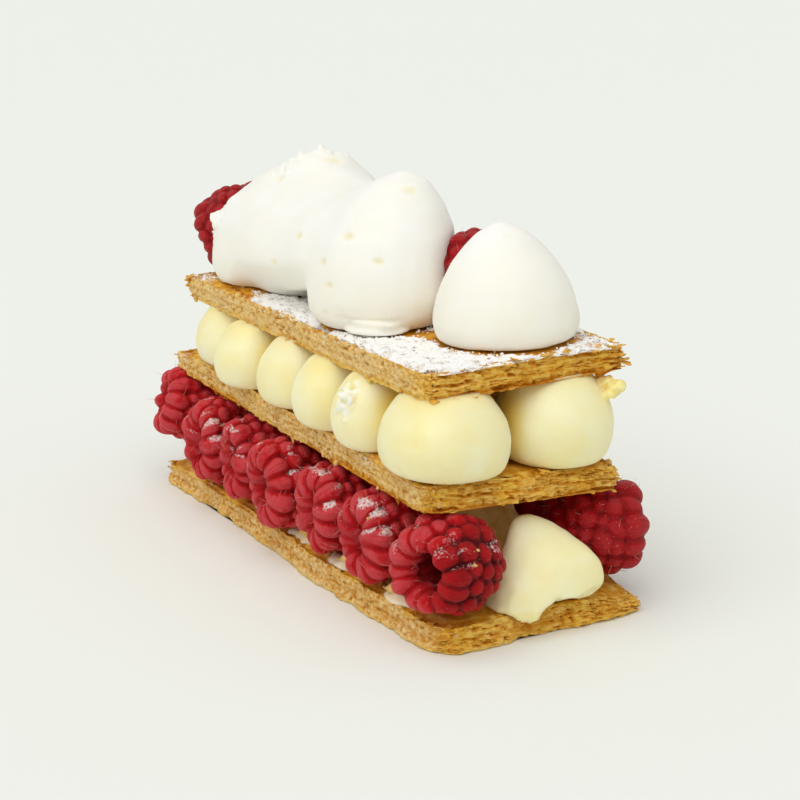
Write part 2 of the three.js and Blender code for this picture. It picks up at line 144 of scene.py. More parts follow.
def uneven(points: Points, size: float | Sequence[float], seed: int, octaves: int = 1) -> Points:
    """Smooth unevenness in space.

    Args:
        points: places in millimetres, three to a row.
        size: how far apart its lumps are, all round or along each axis.
        seed: picks another pattern.
        octaves: how many finer patterns are laid over each other.

    Returns:
        One number from about -1 to 1 for each point.
    """
    total, weight = np.zeros(len(points)), 0.0
    for octave in range(octaves):
        place = points / np.asarray(size, float) * 2**octave + 31.7 * octave
        cell = np.floor(place)
        part = place - cell
        part = part * part * (3 - 2 * part)
        for corner in np.ndindex(2, 2, 2):
            share = np.prod(np.where(corner, part, 1 - part), axis=1)
            total += share * lattice(cell + corner, seed + octave) / 2**octave
        weight += 1 / 2**octave
    return total / weight * 1.4


def lumps(points: Points, size: float, seed: int) -> tuple[Points, Points]:
    """Packs space with rounded lumps, as broken crumb is packed.

    Args:
        points: places in millimetres, three to a row.
        size: how wide a lump is.
        seed: picks another packing.

    Returns:
        How far each point is from its lump's middle, in sizes, and a number from -1 to 1 for that lump.
    """
    place = points / size
    home = np.floor(place)
    nearest, owner = np.full(len(points), 9.0), np.zeros(len(points))
    for corner in np.ndindex(3, 3, 3):
        cell = home + corner - 1
        middle = cell + 0.5 + 0.42 * np.stack([lattice(cell, seed + n) for n in range(3)], axis=1)
        away = np.linalg.norm(place - middle, axis=1)
        closer = away < nearest
        nearest = np.where(closer, away, nearest)
        owner = np.where(closer, lattice(cell, seed + 3), owner)
    return nearest, owner


# ---------------------------------------------------------------- mesh work


def deselect_all() -> None:
    """Leaves nothing selected: the loaded nodes come in selected."""
    bpy.ops.object.select_all(action="DESELECT")


def make_active(piece: Piece) -> None:
    """Makes a piece the only one that operators act on.

    Args:
        piece: the piece.
    """
    deselect_all()
    piece.select_set(True)
    bpy.context.view_layer.objects.active = piece


def apply_modifiers(piece: Piece) -> None:
    """Applies a piece's modifiers in their order.

    Args:
        piece: the piece.
    """
    make_active(piece)
    for modifier in list(piece.modifiers):
        bpy.ops.object.modifier_apply(modifier=modifier.name)


def read_points(piece: Piece) -> Points:
    """Reads a piece's vertices in millimetres.

    Args:
        piece: the piece.

    Returns:
        One row for each vertex.
    """
    flat = np.empty(len(piece.data.vertices) * 3)
    piece.data.vertices.foreach_get("co", flat)
    return flat.reshape(-1, 3) / MM


def write_points(piece: Piece, points: Points) -> None:
    """Writes a piece's vertices from millimetres."""
    piece.data.vertices.foreach_set("co", (points * MM).ravel())
    piece.data.update()


def read_normals(piece: Piece) -> Points:
    """Reads the direction that a piece faces at each vertex.

    Args:
        piece: the piece.

    Returns:
        One row for each vertex.
    """
    flat = np.empty(len(piece.data.vertices) * 3)
    piece.data.vertices.foreach_get("normal", flat)
    return flat.reshape(-1, 3)


def read_edges(piece: Piece) -> Points:
    """Reads the numbers of each edge's two vertices.

    Args:
        piece: the piece.

    Returns:
        One row for each edge.
    """
    ends = np.empty(len(piece.data.edges) * 2, np.int32)
    piece.data.edges.foreach_get("vertices", ends)
    return ends.reshape(-1, 2)


def write_mask(piece: Piece, name: str, values: Points | float) -> None:
    """Stores one number for each vertex, for the piece's material to read."""
    mask = piece.data.attributes.get(name) or piece.data.attributes.new(name, "FLOAT", "POINT")
    mask.data.foreach_set("value", np.clip(values * np.ones(len(mask.data)), 0, 1))


def read_mask(piece: Piece, name: str) -> Points:
    """Reads the number that each vertex has stored.

    Args:
        piece: the piece.
        name: what the numbers are stored as.

    Returns:
        One number for each vertex.
    """
    values = np.empty(len(piece.data.vertices))
    piece.data.attributes[name].data.foreach_get("value", values)
    return values


def summed_around(values: Points, one: Points, other: Points) -> Points:
    """Adds up, at each vertex, the values at the other ends of its edges."""
    return np.bincount(one, values[other], len(values)) + np.bincount(other, values[one], len(values))


def sunken(piece: Piece, times: int) -> Points:
    """Finds how far each vertex lies below its smoothed surroundings.

    Args:
        piece: the piece to look at.
        times: how often the surroundings are smoothed, so how wide a crease counts.

    Returns:
        Millimetres, above 0 in creases and below 0 on crests.
    """
    one, other = read_edges(piece).T
    points = read_points(piece)
    number = np.maximum(summed_around(np.ones(len(points)), one, other), 1)
    even = points.copy()
    for _ in range(times):
        even = np.stack([summed_around(even[:, k], one, other) / number for k in range(3)], axis=1)
    return ((even - points) * read_normals(piece)).sum(axis=1)


def close_creases(piece: Piece, times: int) -> None:
    """Lets soft cream run into its creases while its crests stay.

    Args:
        piece: the piece to close.
        times: how often, so how wide a crease closes.
    """
    one, other = read_edges(piece).T
    points, normals = read_points(piece), read_normals(piece)
    number = np.maximum(summed_around(np.ones(len(points)), one, other), 1)
    for turn in range(times):
        if turn % 12 == 11:
            write_points(piece, points)
            normals = read_normals(piece)
        rise = -(points * normals).sum(axis=1)
        for k in range(3):
            rise += summed_around(points[:, k], one, other) / number * normals[:, k]
        points = points + normals * (0.6 * np.maximum(rise, 0))[:, None]
    write_points(piece, points)


def near(points: Points, spots: Sequence[Sequence[float]]) -> Points:
    """Marks what lies near some spots.

    Args:
        points: places in millimetres.
        spots: for each spot its x, y and z, its radius and its strength.

    Returns:
        The strongest mark at each point.
    """
    mark = np.zeros(len(points))
    for x, y, z, radius, strength in spots:
        away = np.linalg.norm(points - (x, y, z), axis=1)
        mark = np.maximum(mark, strength * (1 - step(0.35 * radius, radius, away)))
    return mark


def linked(name: str, data: bpy.types.ID) -> Piece:
    """Adds an object to the scene.

    Args:
        name: its name.
        data: its mesh, lamp or camera.

    Returns:
        The object.
    """
    added = bpy.data.objects.new(name, data)
    bpy.context.scene.collection.objects.link(added)
    return added


def piece_from(name: str, points: Points, faces: Sequence[Sequence[int]]) -> Piece:
    """Makes a piece from points and faces.

    Args:
        name: the piece's name.
        points: its vertices in millimetres.
        faces: vertex numbers, face by face.

    Returns:
        The piece, linked to the scene.
    """
    mesh = bpy.data.meshes.new(name)
    mesh.from_pydata((points * MM).tolist(), [], faces)
    return linked(name, mesh)


def edit_all() -> None:
    """Opens the active piece for editing, with all of it selected."""
    bpy.ops.object.mode_set(mode="EDIT")
    bpy.ops.mesh.select_all(action="SELECT")


def join(parts: Sequence[Piece]) -> Piece:
    """Joins pieces into the first of them.

    Args:
        parts: the pieces.

    Returns:
        The first of them.
    """
    make_active(parts[0])
    for part in parts[1:]:
        part.select_set(True)
    if parts[1:]:
        bpy.ops.object.join()
    return parts[0]


def copy_of_node(node: str, name: str) -> Piece:
    """Copies a CAD node's mesh into a piece of its own and merges its loose triangles.

    Args:
        node: the CAD node.
        name: the new piece's name.

    Returns:
        The new piece.
    """
    mesh = bpy.data.objects[node].data.copy()
    mesh.name = name
    mesh.materials.clear()
    piece = linked(name, mesh)
    make_active(piece)
    edit_all()
    bpy.ops.mesh.remove_doubles(threshold=0.01 * MM)
    bpy.ops.object.mode_set(mode="OBJECT")
    bpy.ops.mesh.customdata_custom_splitnormals_clear()
    return piece


def remesh(piece: Piece, size: float) -> None:
    """Closes a piece over with small even faces.

    Args:
        piece: the piece, whose parts may run into each other.
        size: how wide the faces are, in millimetres.
    """
    skin = piece.modifiers.new("skin", "REMESH")
    skin.mode = "VOXEL"
    skin.voxel_size = size * MM
    apply_modifiers(piece)


def relax(piece: Piece, times: int) -> None:
    """Smooths a piece as soft cream settles.

    Args:
        piece: the piece.
        times: how often it is smoothed.
    """
    smooth = piece.modifiers.new("settle", "SMOOTH")
    smooth.factor, smooth.iterations = 0.5, times
    apply_modifiers(piece)


def thicken(piece: Piece, thickness: float, offset: float) -> None:
    """Gives a leaf its thickness.

    Args:
        piece: the leaf.
        thickness: how thick it becomes.
        offset: -1 for all of it below the leaf, 0 for half on each side.
    """
    depth = piece.modifiers.new("depth", "SOLIDIFY")
    depth.thickness, depth.offset = thickness * MM, offset
    apply_modifiers(piece)


def repeated(name: str, shape: Shape, places: Sequence[Points]) -> Piece:
    """Joins many copies of one small shape into one piece.

    Args:
        name: the piece's name.
        shape: the small shape.
        places: a 4 by 4 matrix for each copy.

    Returns:
        The joined piece.
    """
    points, faces = shape
    full = np.c_[points, np.ones(len(points))]
    moved = np.einsum("kij,nj->kni", np.asarray(places), full)[..., :3]
    numbers = faces[None] + np.arange(len(places))[:, None, None] * len(points)
    return piece_from(name, moved.reshape(-1, 3), numbers.reshape(-1, faces.shape[1]).tolist())


def placed(move: Sequence[float], turn: Points, size: Sequence[float]) -> Points:
    """Makes the matrix that sizes, turns and then moves a copy.

    Args:
        move: where it goes.
        turn: its 3 by 3 turn.
        size: its size along its own axes.

    Returns:
        A 4 by 4 matrix.
    """
    matrix = np.eye(4)
    matrix[:3, :3] = turn * np.asarray(size, float)
    matrix[:3, 3] = move
    return matrix


def tumbled(rng: np.random.Generator) -> Points:
    """Makes a turn to a chance direction.

    Args:
        rng: picks the direction.

    Returns:
        A 3 by 3 turn.
    """
    q = rng.normal(size=4)
    w, x, y, z = q / np.linalg.norm(q)
    return np.array(
        [
            [1 - 2 * (y * y + z * z), 2 * (x * y - z * w), 2 * (x * z + y * w)],
            [2 * (x * y + z * w), 1 - 2 * (x * x + z * z), 2 * (y * z - x * w)],
            [2 * (x * z - y * w), 2 * (y * z + x * w), 1 - 2 * (x * x + y * y)],
        ]
    )


def standing_on(normal: Points, rng: np.random.Generator) -> Points:
    """Makes a turn whose third axis is a surface's normal.

    Args:
        normal: the direction to stand along.
        rng: picks the turn about it.

    Returns:
        A 3 by 3 turn.
    """
    z = normal / (np.linalg.norm(normal) + 1e-9)
    x = np.cross(rng.normal(size=3), z)
    x /= np.linalg.norm(x)
    return np.stack([x, np.cross(z, x), z], axis=1)


def taken_out(piece: Piece) -> Shape:
    """Takes a shape's vertices and faces out of the scene, for copying.

    Args:
        piece: the piece.

    Returns:
        The shape.
    """
    points = read_points(piece)
    faces = np.array([list(face.vertices) for face in piece.data.polygons])
    bpy.data.objects.remove(piece)
    return points, faces


def small_ball(rings: int) -> Shape:
    """Models a ball of radius 1 once, for copying.

    Args:
        rings: how finely the icosphere is divided.

    Returns:
        The ball.
    """
    deselect_all()
    bpy.ops.mesh.primitive_ico_sphere_add(subdivisions=rings, radius=MM)
    return taken_out(bpy.context.active_object)


def new_ball(name: str, sides: int, rings: int) -> tuple[Piece, Points]:
    """Adds a ball of radius 1 to be shaped.

    Args:
        name: the piece's name.
        sides: its faces round Z.
        rings: its faces from foot to top.

    Returns:
        The ball and its vertices.
    """
    deselect_all()
    bpy.ops.mesh.primitive_uv_sphere_add(segments=sides, ring_count=rings, radius=MM)
    ball = bpy.context.active_object
    ball.name = ball.data.name = name
    return ball, read_points(ball)


def round_and_up(ball: Points) -> tuple[Points, Points]:
    """Gives each vertex of a ball its angle about Z and its share of the way from foot to top."""
    return np.arctan2(ball[:, 1], ball[:, 0]), np.arccos(np.clip(-ball[:, 2], -1, 1)) / math.pi


def eased(profile: Points, times: int) -> Points:
    """Rounds the bends of a profile, whose ends stay.

    Args:
        profile: one or more rows of numbers, which change.
        times: how often they are smoothed.

    Returns:
        The profile.
    """
    for _ in range(times):
        profile[..., 1:-1] = (profile[..., :-2] + profile[..., 2:] + 2 * profile[..., 1:-1]) / 4
    return profile


# ---------------------------------------------------------------- finishes


def add_node(
    tree: bpy.types.NodeTree, kind: str, sockets: dict[str | int, Any] | None = None, **options: Any
) -> bpy.types.Node:
    """Adds a node.

    Args:
        tree: the material's nodes.
        kind: the node's type, without ShaderNode.
        sockets: what each socket holds or, if it is a socket, reads.
        options: the node's own properties.

    Returns:
        The node.
    """
    node = tree.nodes.new("ShaderNode" + kind)
    for name, option in options.items():
        setattr(node, name, option)
    for key, value in (sockets or {}).items():
        if isinstance(value, Socket):
            tree.links.new(value, node.inputs[key])
        else:
            node.inputs[key].default_value = value
    return node


@dataclass(frozen=True)
class Graph:
    """A material's nodes while a finish lays them out."""

    tree: bpy.types.NodeTree
    shader: bpy.types.Node
    place: Socket

    def mask(self, name: str) -> Socket:
        """Reads the number that a mesh stores at its vertices."""
        return add_node(self.tree, "Attribute", attribute_name=name).outputs["Fac"]

    def noise(
        self, size: float, detail: int, rough: float, at: Socket | None = None, bend: float = 0.0
    ) -> Socket:
        """Makes cloudy lumps.

        Args:
            size: how wide they are, in millimetres.
            detail: how many finer patterns are laid over each other.
            rough: how strong those are.
            at: where it is read, if not at the Object coordinates.
            bend: how far it distorts itself.

        Returns:
            Numbers from 0 to 1.
        """
        place = self.place if at is None else at
        shape = {"Scale": 1 / MM / size, "Detail": detail, "Roughness": rough, "Distortion": bend}
        return add_node(self.tree, "TexNoise", {"Vector": place, **shape}).outputs["Fac"]

    def scaled(self, value: Socket, times: float, plus: Socket | float, clamp: bool = False) -> Socket:
        """Multiplies a value and adds a number or another value to it."""
        sockets = {0: value, 1: times, 2: plus}
        return add_node(self.tree, "Math", sockets, operation="MULTIPLY_ADD", use_clamp=clamp).outputs[0]

    def added(self, one: Socket, other: Socket, clamp: bool = False) -> Socket:
        """Adds two values."""
        return add_node(self.tree, "Math", {0: one, 1: other}, operation="ADD", use_clamp=clamp).outputs[0]

    def ramp(self, value: Socket, *stops: tuple[float, str]) -> Socket:
        """Turns a value to a colour.

        Args:
            value: the value.
            stops: numbers, each with the colour that it turns to.

        Returns:
            The colour.
        """
        node = add_node(self.tree, "ValToRGB", {"Fac": value})
        elements = node.color_ramp.elements
        while len(elements) < len(stops):
            elements.new(0.5)
        for element, (number, colour) in zip(elements, stops):
            element.position, element.color = number, linear(colour)
        return node.outputs["Color"]

    def blend(self, share: Socket | float, under: Socket, over: Socket | str, mode: str = "MIX") -> Socket:
        """Lays one colour over another.

        Args:
            share: how much of it, from 0 to 1.
            under: the colour below.
            over: the colour laid over it.
            mode: how the two mix.

        Returns:
            The mixed colour.
        """
        sockets = {0: share, 6: under, 7: linear(over) if isinstance(over, str) else over}
        return add_node(self.tree, "Mix", sockets, data_type="RGBA", blend_type=mode).outputs[2]

    def feed(self, name: str, value: Socket) -> None:
        """Links a value to one of the shader's sockets."""
        self.tree.links.new(value, self.shader.inputs[name])

    def bump(self, height: Socket, strength: float, depth: float) -> None:
        """Shades fine relief that is depth millimetres deep."""
        sockets = {"Strength": strength, "Distance": depth * MM, "Height": height}
        self.feed("Normal", add_node(self.tree, "Bump", sockets).outputs["Normal"])


@dataclass(frozen=True)
class Finish:
    """What every finish has: a name, its base shader values and a start of its nodes."""

    name: str
    roughness: float = 0.6
    ior: float = 1.45
    subsurface: float = 0.0
    subsurface_reach: tuple[float, float, float] = (1.0, 1.0, 1.0)
    subsurface_scale: float = 1.0
    sheen: float = 0.0
    sheen_tint: str = "ffffff"
    sheen_roughness: float = 0.5
    specular: float = 0.5

    def made(self) -> bpy.types.Material:
        """Makes the material, with the nodes that this finish adds.

        Returns:
            The material.
        """
        material = bpy.data.materials.new(self.name)
        material.use_nodes = True
        tree = material.node_tree
        tree.nodes.clear()
        sockets = {
            "Roughness": self.roughness,
            "IOR": self.ior,
            "Subsurface Weight": self.subsurface,
            "Subsurface Radius": self.subsurface_reach,
            "Subsurface Scale": self.subsurface_scale * MM,
            "Sheen Weight": self.sheen,
            "Sheen Tint": linear(self.sheen_tint),
            "Sheen Roughness": self.sheen_roughness,
            "Specular IOR Level": self.specular,
        }
        shader = add_node(tree, "BsdfPrincipled", sockets)
        add_node(tree, "OutputMaterial", {"Surface": shader.outputs["BSDF"]})
        self.painted(Graph(tree, shader, add_node(tree, "TexCoord").outputs["Object"]))
        return material

    def painted(self, graph: Graph) -> None:
        """Adds the nodes of this finish. Each finish has its own."""
        raise NotImplementedError


@dataclass(frozen=True)
class BakedPuffPastry(Finish):
    """Baked puff pastry: dry golden leaves, painted paler on crests as painted light, with painted shade in
    seams, holes and creases, and darker splits.
    """

    stops: tuple[float, ...] = (0.0, 0.16, 0.34, 0.7, 1.0)
    crumb: tuple[str, ...] = ("f0d49c", "e3b66c", "d39a48", "b87820", "8c4c0a")
    baked: tuple[str, ...] = ("f6cc58", "efb942", "e6a42c", "ca7e10", "884a06")
    tan: str = "f3e7ce"
    sugar: str = "fbf8f3"
    streak_size: float = 1.9
    streak_flatness: float = 3.0
    crumb_size: float = 0.8
    blotch_size: float = 5.0
    clot_size: float = 0.9

    def painted(self, graph: Graph) -> None:
        """Colours leaves by their depth, which is painted shade in recesses and painted light on crests,
        mottles them, and films them with sugar where it fell.

        Args:
            graph: the material's nodes.
        """
        # leaves lie flat, so the pattern is stretched along the sheet: 2 mm long, 0.6 mm thick
        squeeze = {"Vector": graph.place, "Scale": (1, 1, self.streak_flatness)}
        flat = add_node(graph.tree, "Mapping", squeeze).outputs["Vector"]
        streak = graph.noise(self.streak_size, 5, 0.66, flat, 0.5)
        crumb = graph.noise(self.crumb_size, 5, 0.7)
        # the depth mask paints shade into recesses and light on crests; streaks and crumb add grain
        tone = graph.added(graph.mask("depth"), graph.scaled(streak, 0.4, -0.2))
        tone = graph.added(tone, graph.scaled(crumb, 0.8, -0.4), clamp=True)
        inner, skin = (graph.ramp(tone, *zip(self.stops, colours)) for colours in (self.crumb, self.baked))
        leaves = graph.blend(graph.mask("gold"), inner, skin)
        tanned = graph.ramp(graph.noise(self.blotch_size, 3, 0.6), (0.38, "ffffff"), (0.8, self.tan))
        crust = graph.blend(1.0, leaves, tanned, "MULTIPLY")
        clots = graph.scaled(graph.noise(self.clot_size, 5, 0.7), 5.0, -3.4)
        film = graph.scaled(graph.mask("dust"), 2.0, clots, clamp=True)
        graph.feed("Base Color", graph.blend(film, crust, self.sugar))
        graph.feed("Roughness", graph.scaled(crumb, 0.3, 0.5))
        graph.bump(graph.scaled(crumb, 0.8, streak), 0.8, 0.4)


@dataclass(frozen=True)
class RaspberryFlesh(Finish):
    """Ripe raspberry: translucent red drupelets under a fine pale down."""

    ior: float = 1.38
    subsurface: float = 0.3
    subsurface_reach: tuple[float, float, float] = (1.0, 0.1, 0.08)
    subsurface_scale: float = 1.2
    ripe: str = "c8131b"
    deep: str = "540206"
    bright: str = "c8141b"
    crest_sheen: str = "d5474e"
    sugar: str = "f6ecec"
    dry: float = 0.28
    blotch_size: float = 3.2
    down_size: float = 0.5
    pucker_size: float = 0.75

    def painted(self, graph: Graph) -> None:
        """Paints shade into the creases, a glow of light through the flesh into the hollow and sheen on the
        crests, mottles the flesh and films the tops with sugar.

        Args:
            graph: the material's nodes.
        """
        # the down is finer than a pixel, so it is drawn as clouding of 0.5 mm
        down = graph.noise(self.down_size, 4, 0.7)
        mottled = graph.scaled(graph.noise(self.blotch_size, 3, 0.55), 0.7, -0.35)
        tone = graph.added(graph.mask("depth"), mottled, clamp=True)
        # the depth mask: crests get painted sheen, creases painted shade
        flesh = graph.ramp(tone, (0.0, self.crest_sheen), (0.14, self.ripe), (1.0, self.deep))
        # painted glow: the hollow brightened as by light through the flesh
        inside = graph.blend(graph.mask("hollow"), flesh, self.bright)
        film = graph.scaled(graph.mask("dust"), 1.9, graph.scaled(down, 5.0, -3.3), clamp=True)
        graph.feed("Base Color", graph.blend(film, inside, self.sugar))
        graph.feed("Roughness", graph.scaled(down, 0.25, self.dry))
        # the skin puckers towards the hollow, along the places that the mesh stores as grain
        along = add_node(graph.tree, "Attribute", attribute_name="grain").outputs["Vector"]
        pucker = graph.noise(self.pucker_size, 3, 0.6, along)
        graph.bump(graph.scaled(pucker, 2.2, down), 1.0, 0.42)


@dataclass(frozen=True)
class SmoothCream(Finish):
    """Piped cream: smooth, matt to satin, lit from within, with painted shade in its pits, at its foot and
    under the sheet, and a few tinted marks.
    """

    ior: float = 1.42
    subsurface: float = 0.6
    subsurface_reach: tuple[float, float, float] = (1.0, 0.82, 0.5)
    body: str = "f9f2ca"
    warm: str = "f4e8a6"
    shade_and_marks: str = "f6d433"
    scuff: str = "fefcef"
    wave: float = 9.0
    mottle: float = 1.0
    grit: float = 0.5
    grit_depth: float = 0.03

    def painted(self, graph: Graph) -> None:
        """Drifts the colour slowly over the cream and warms its foot as painted shade, paints shade into its
        pits and under the sheet, tints its marks and dulls it with a fine grit.

        Args:
            graph: the material's nodes.
        """
        # the low mask warms and darkens the foot as painted shade
        drift_and_foot_shade = graph.scaled(graph.noise(self.wave, 3, 0.5), self.mottle, graph.mask("low"))
        first, last = 0.35 * self.mottle, 0.35 + 0.45 * self.mottle
        tone_and_foot_shade = graph.ramp(drift_and_foot_shade, (first, self.body), (last, self.warm))
        # painted shade in pits, under the sheet and between dollops, and the lemon's tinted marks
        shaded_and_marked = graph.blend(graph.mask("shade_and_marks"), tone_and_foot_shade, self.shade_and_marks)
        graph.feed("Base Color", graph.blend(graph.mask("scuff"), shaded_and_marked, self.scuff))
        fine = graph.noise(self.grit, 3, 0.6)
        graph.feed("Roughness", graph.scaled(fine, 0.16, self.roughness - 0.08))
        graph.bump(fine, 0.5, self.grit_depth)


@dataclass(frozen=True)
class IcingSugar(Finish):
    """Icing sugar: a soft white powder that clots where it lies thick."""

    white: str = "fdfcfa"
    grey: str = "ece6df"
    clot_size: float = 0.6

    def painted(self, graph: Graph) -> None:
        """Breaks the white into clots.

        Args:
            graph: the material's nodes.
        """
        clot = graph.noise(self.clot_size, 4, 0.7)
        graph.feed("Base Color", graph.ramp(clot, (0.3, self.grey), (0.5, self.white)))
        graph.feed("Roughness", graph.scaled(clot, 0.15, 0.82))
        graph.bump(clot, 0.6, 0.2)


@dataclass(frozen=True)
class PlainGrain(Finish):
    """A small thing of one stuff, such as a hair, a seed or the floor, mottled a little."""

    light: str = "e8c9a0"
    dark: str = "c89a70"
    size: float = 1.0

    def painted(self, graph: Graph) -> None:
        """Mottles between its two colours."""
        mottle = graph.noise(self.size, 3, 0.6)
        graph.feed("Base Color", graph.ramp(mottle, (0.35, self.light), (0.7, self.dark)))


@dataclass(frozen=True)
class Finishes:
    """The materials of the slice, each made once."""

    pastry: bpy.types.Material
    raspberry: bpy.types.Material
    moist: bpy.types.Material
    lemon: bpy.types.Material
    whipped: bpy.types.Material
    core: bpy.types.Material
    sugar: bpy.types.Material
    hair: bpy.types.Material
    smear: bpy.types.Material
    seed: bpy.types.Material


def made_finishes() -> Finishes:
    """Makes the slice's materials.

    Returns:
        All of them.
    """
    return Finishes(
        pastry=BakedPuffPastry("baked_puff_pastry", roughness=0.65, specular=0.12).made(),
        raspberry=RaspberryFlesh(
            "ripe_raspberry", sheen=0.15, sheen_tint="ff9c9c", sheen_roughness=0.35, specular=0.15
        ).made(),
        moist=RaspberryFlesh(
            "moist_raspberry", specular=0.3, dry=0.08, ripe="a6050d", deep="6a0206", crest_sheen="b31a20"
        ).made(),
        lemon=SmoothCream("lemon_cream", roughness=0.46, subsurface_scale=2.4, specular=0.3).made(),
        whipped=SmoothCream(
            "whipped_cream", roughness=0.62, ior=1.4, subsurface_reach=(1.0, 0.9, 0.78), subsurface_scale=3.0,
            specular=0.3, body="fdfbf4", warm="f7efdf", shade_and_marks="f0e4b6", wave=12, mottle=0.5,
        ).made(),
        core=SmoothCream(
            "core_cream", roughness=0.6, subsurface=0.4, subsurface_scale=1.5, specular=0.35, body="f3d68e",
            warm="dfb25e", shade_and_marks="c5a06a", wave=3, grit=1.2, grit_depth=0.2,
        ).made(),
        sugar=IcingSugar("icing_sugar", roughness=0.9, ior=1.5, subsurface=0.2, subsurface_scale=0.4).made(),
        hair=PlainGrain("dried_styles", roughness=0.5, light="e9b9a4", dark="c98474").made(),
        smear=SmoothCream(
            "pressed_cream", roughness=0.5, subsurface=0.5, specular=0.35, body="f6ead0", warm="ecd9b0", wave=4,
            grit=0.8, grit_depth=0.1,
        ).made(),
        seed=PlainGrain("raspberry_seeds", roughness=0.4, light="e6c27c", dark="c3903f").made(),
    )


def hand_in(
    piece: Piece,
    material: bpy.types.Material,
    nodes: Sequence[str] = (),
    crisp: float = 0.0,
) -> Piece:
    """Dresses a finished piece and ties it to the frame.

    Args:
        piece: the piece, in place.
        material: its finish.
        nodes: the CAD nodes that it stands for.
        crisp: the angle, in degrees, past which an edge stays sharp, or 0 for a soft piece.

    Returns:
        The piece.
    """
    piece.data.materials.clear()
    piece.data.materials.append(material)
    piece.data.polygons.foreach_set("use_smooth", np.ones(len(piece.data.polygons), bool))
    if crisp:
        make_active(piece)
        bpy.ops.object.shade_smooth_by_angle(angle=math.radians(crisp))
    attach(piece, "root")
    if nodes:
        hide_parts(*nodes)
    sides = sum(len(face.vertices) - 2 for face in piece.data.polygons)
    LOG.info("%s: %d triangles", piece.name, sides)
    return piece


# ---------------------------------------------------------------- pastry

# how far each row of the solids' sides is set back, from the base up
LAYER_SETBACK = (0.8, 0.1, 0.5, 0.0, 0.45, 0.65)
CORNER_REACH = 16.0
# the two upper leaves, which end short of the edge: how far in, how much that wanders and over what
# length, how far the step runs, and how thick the leaf is
TOP_LEAVES = ((1.9, 1.6, 5.0, 0.5, 0.34), (0.7, 0.9, 3.0, 0.4, 0.3))
# what lies this close to a face of the slab is on it
TOUCH = 0.01


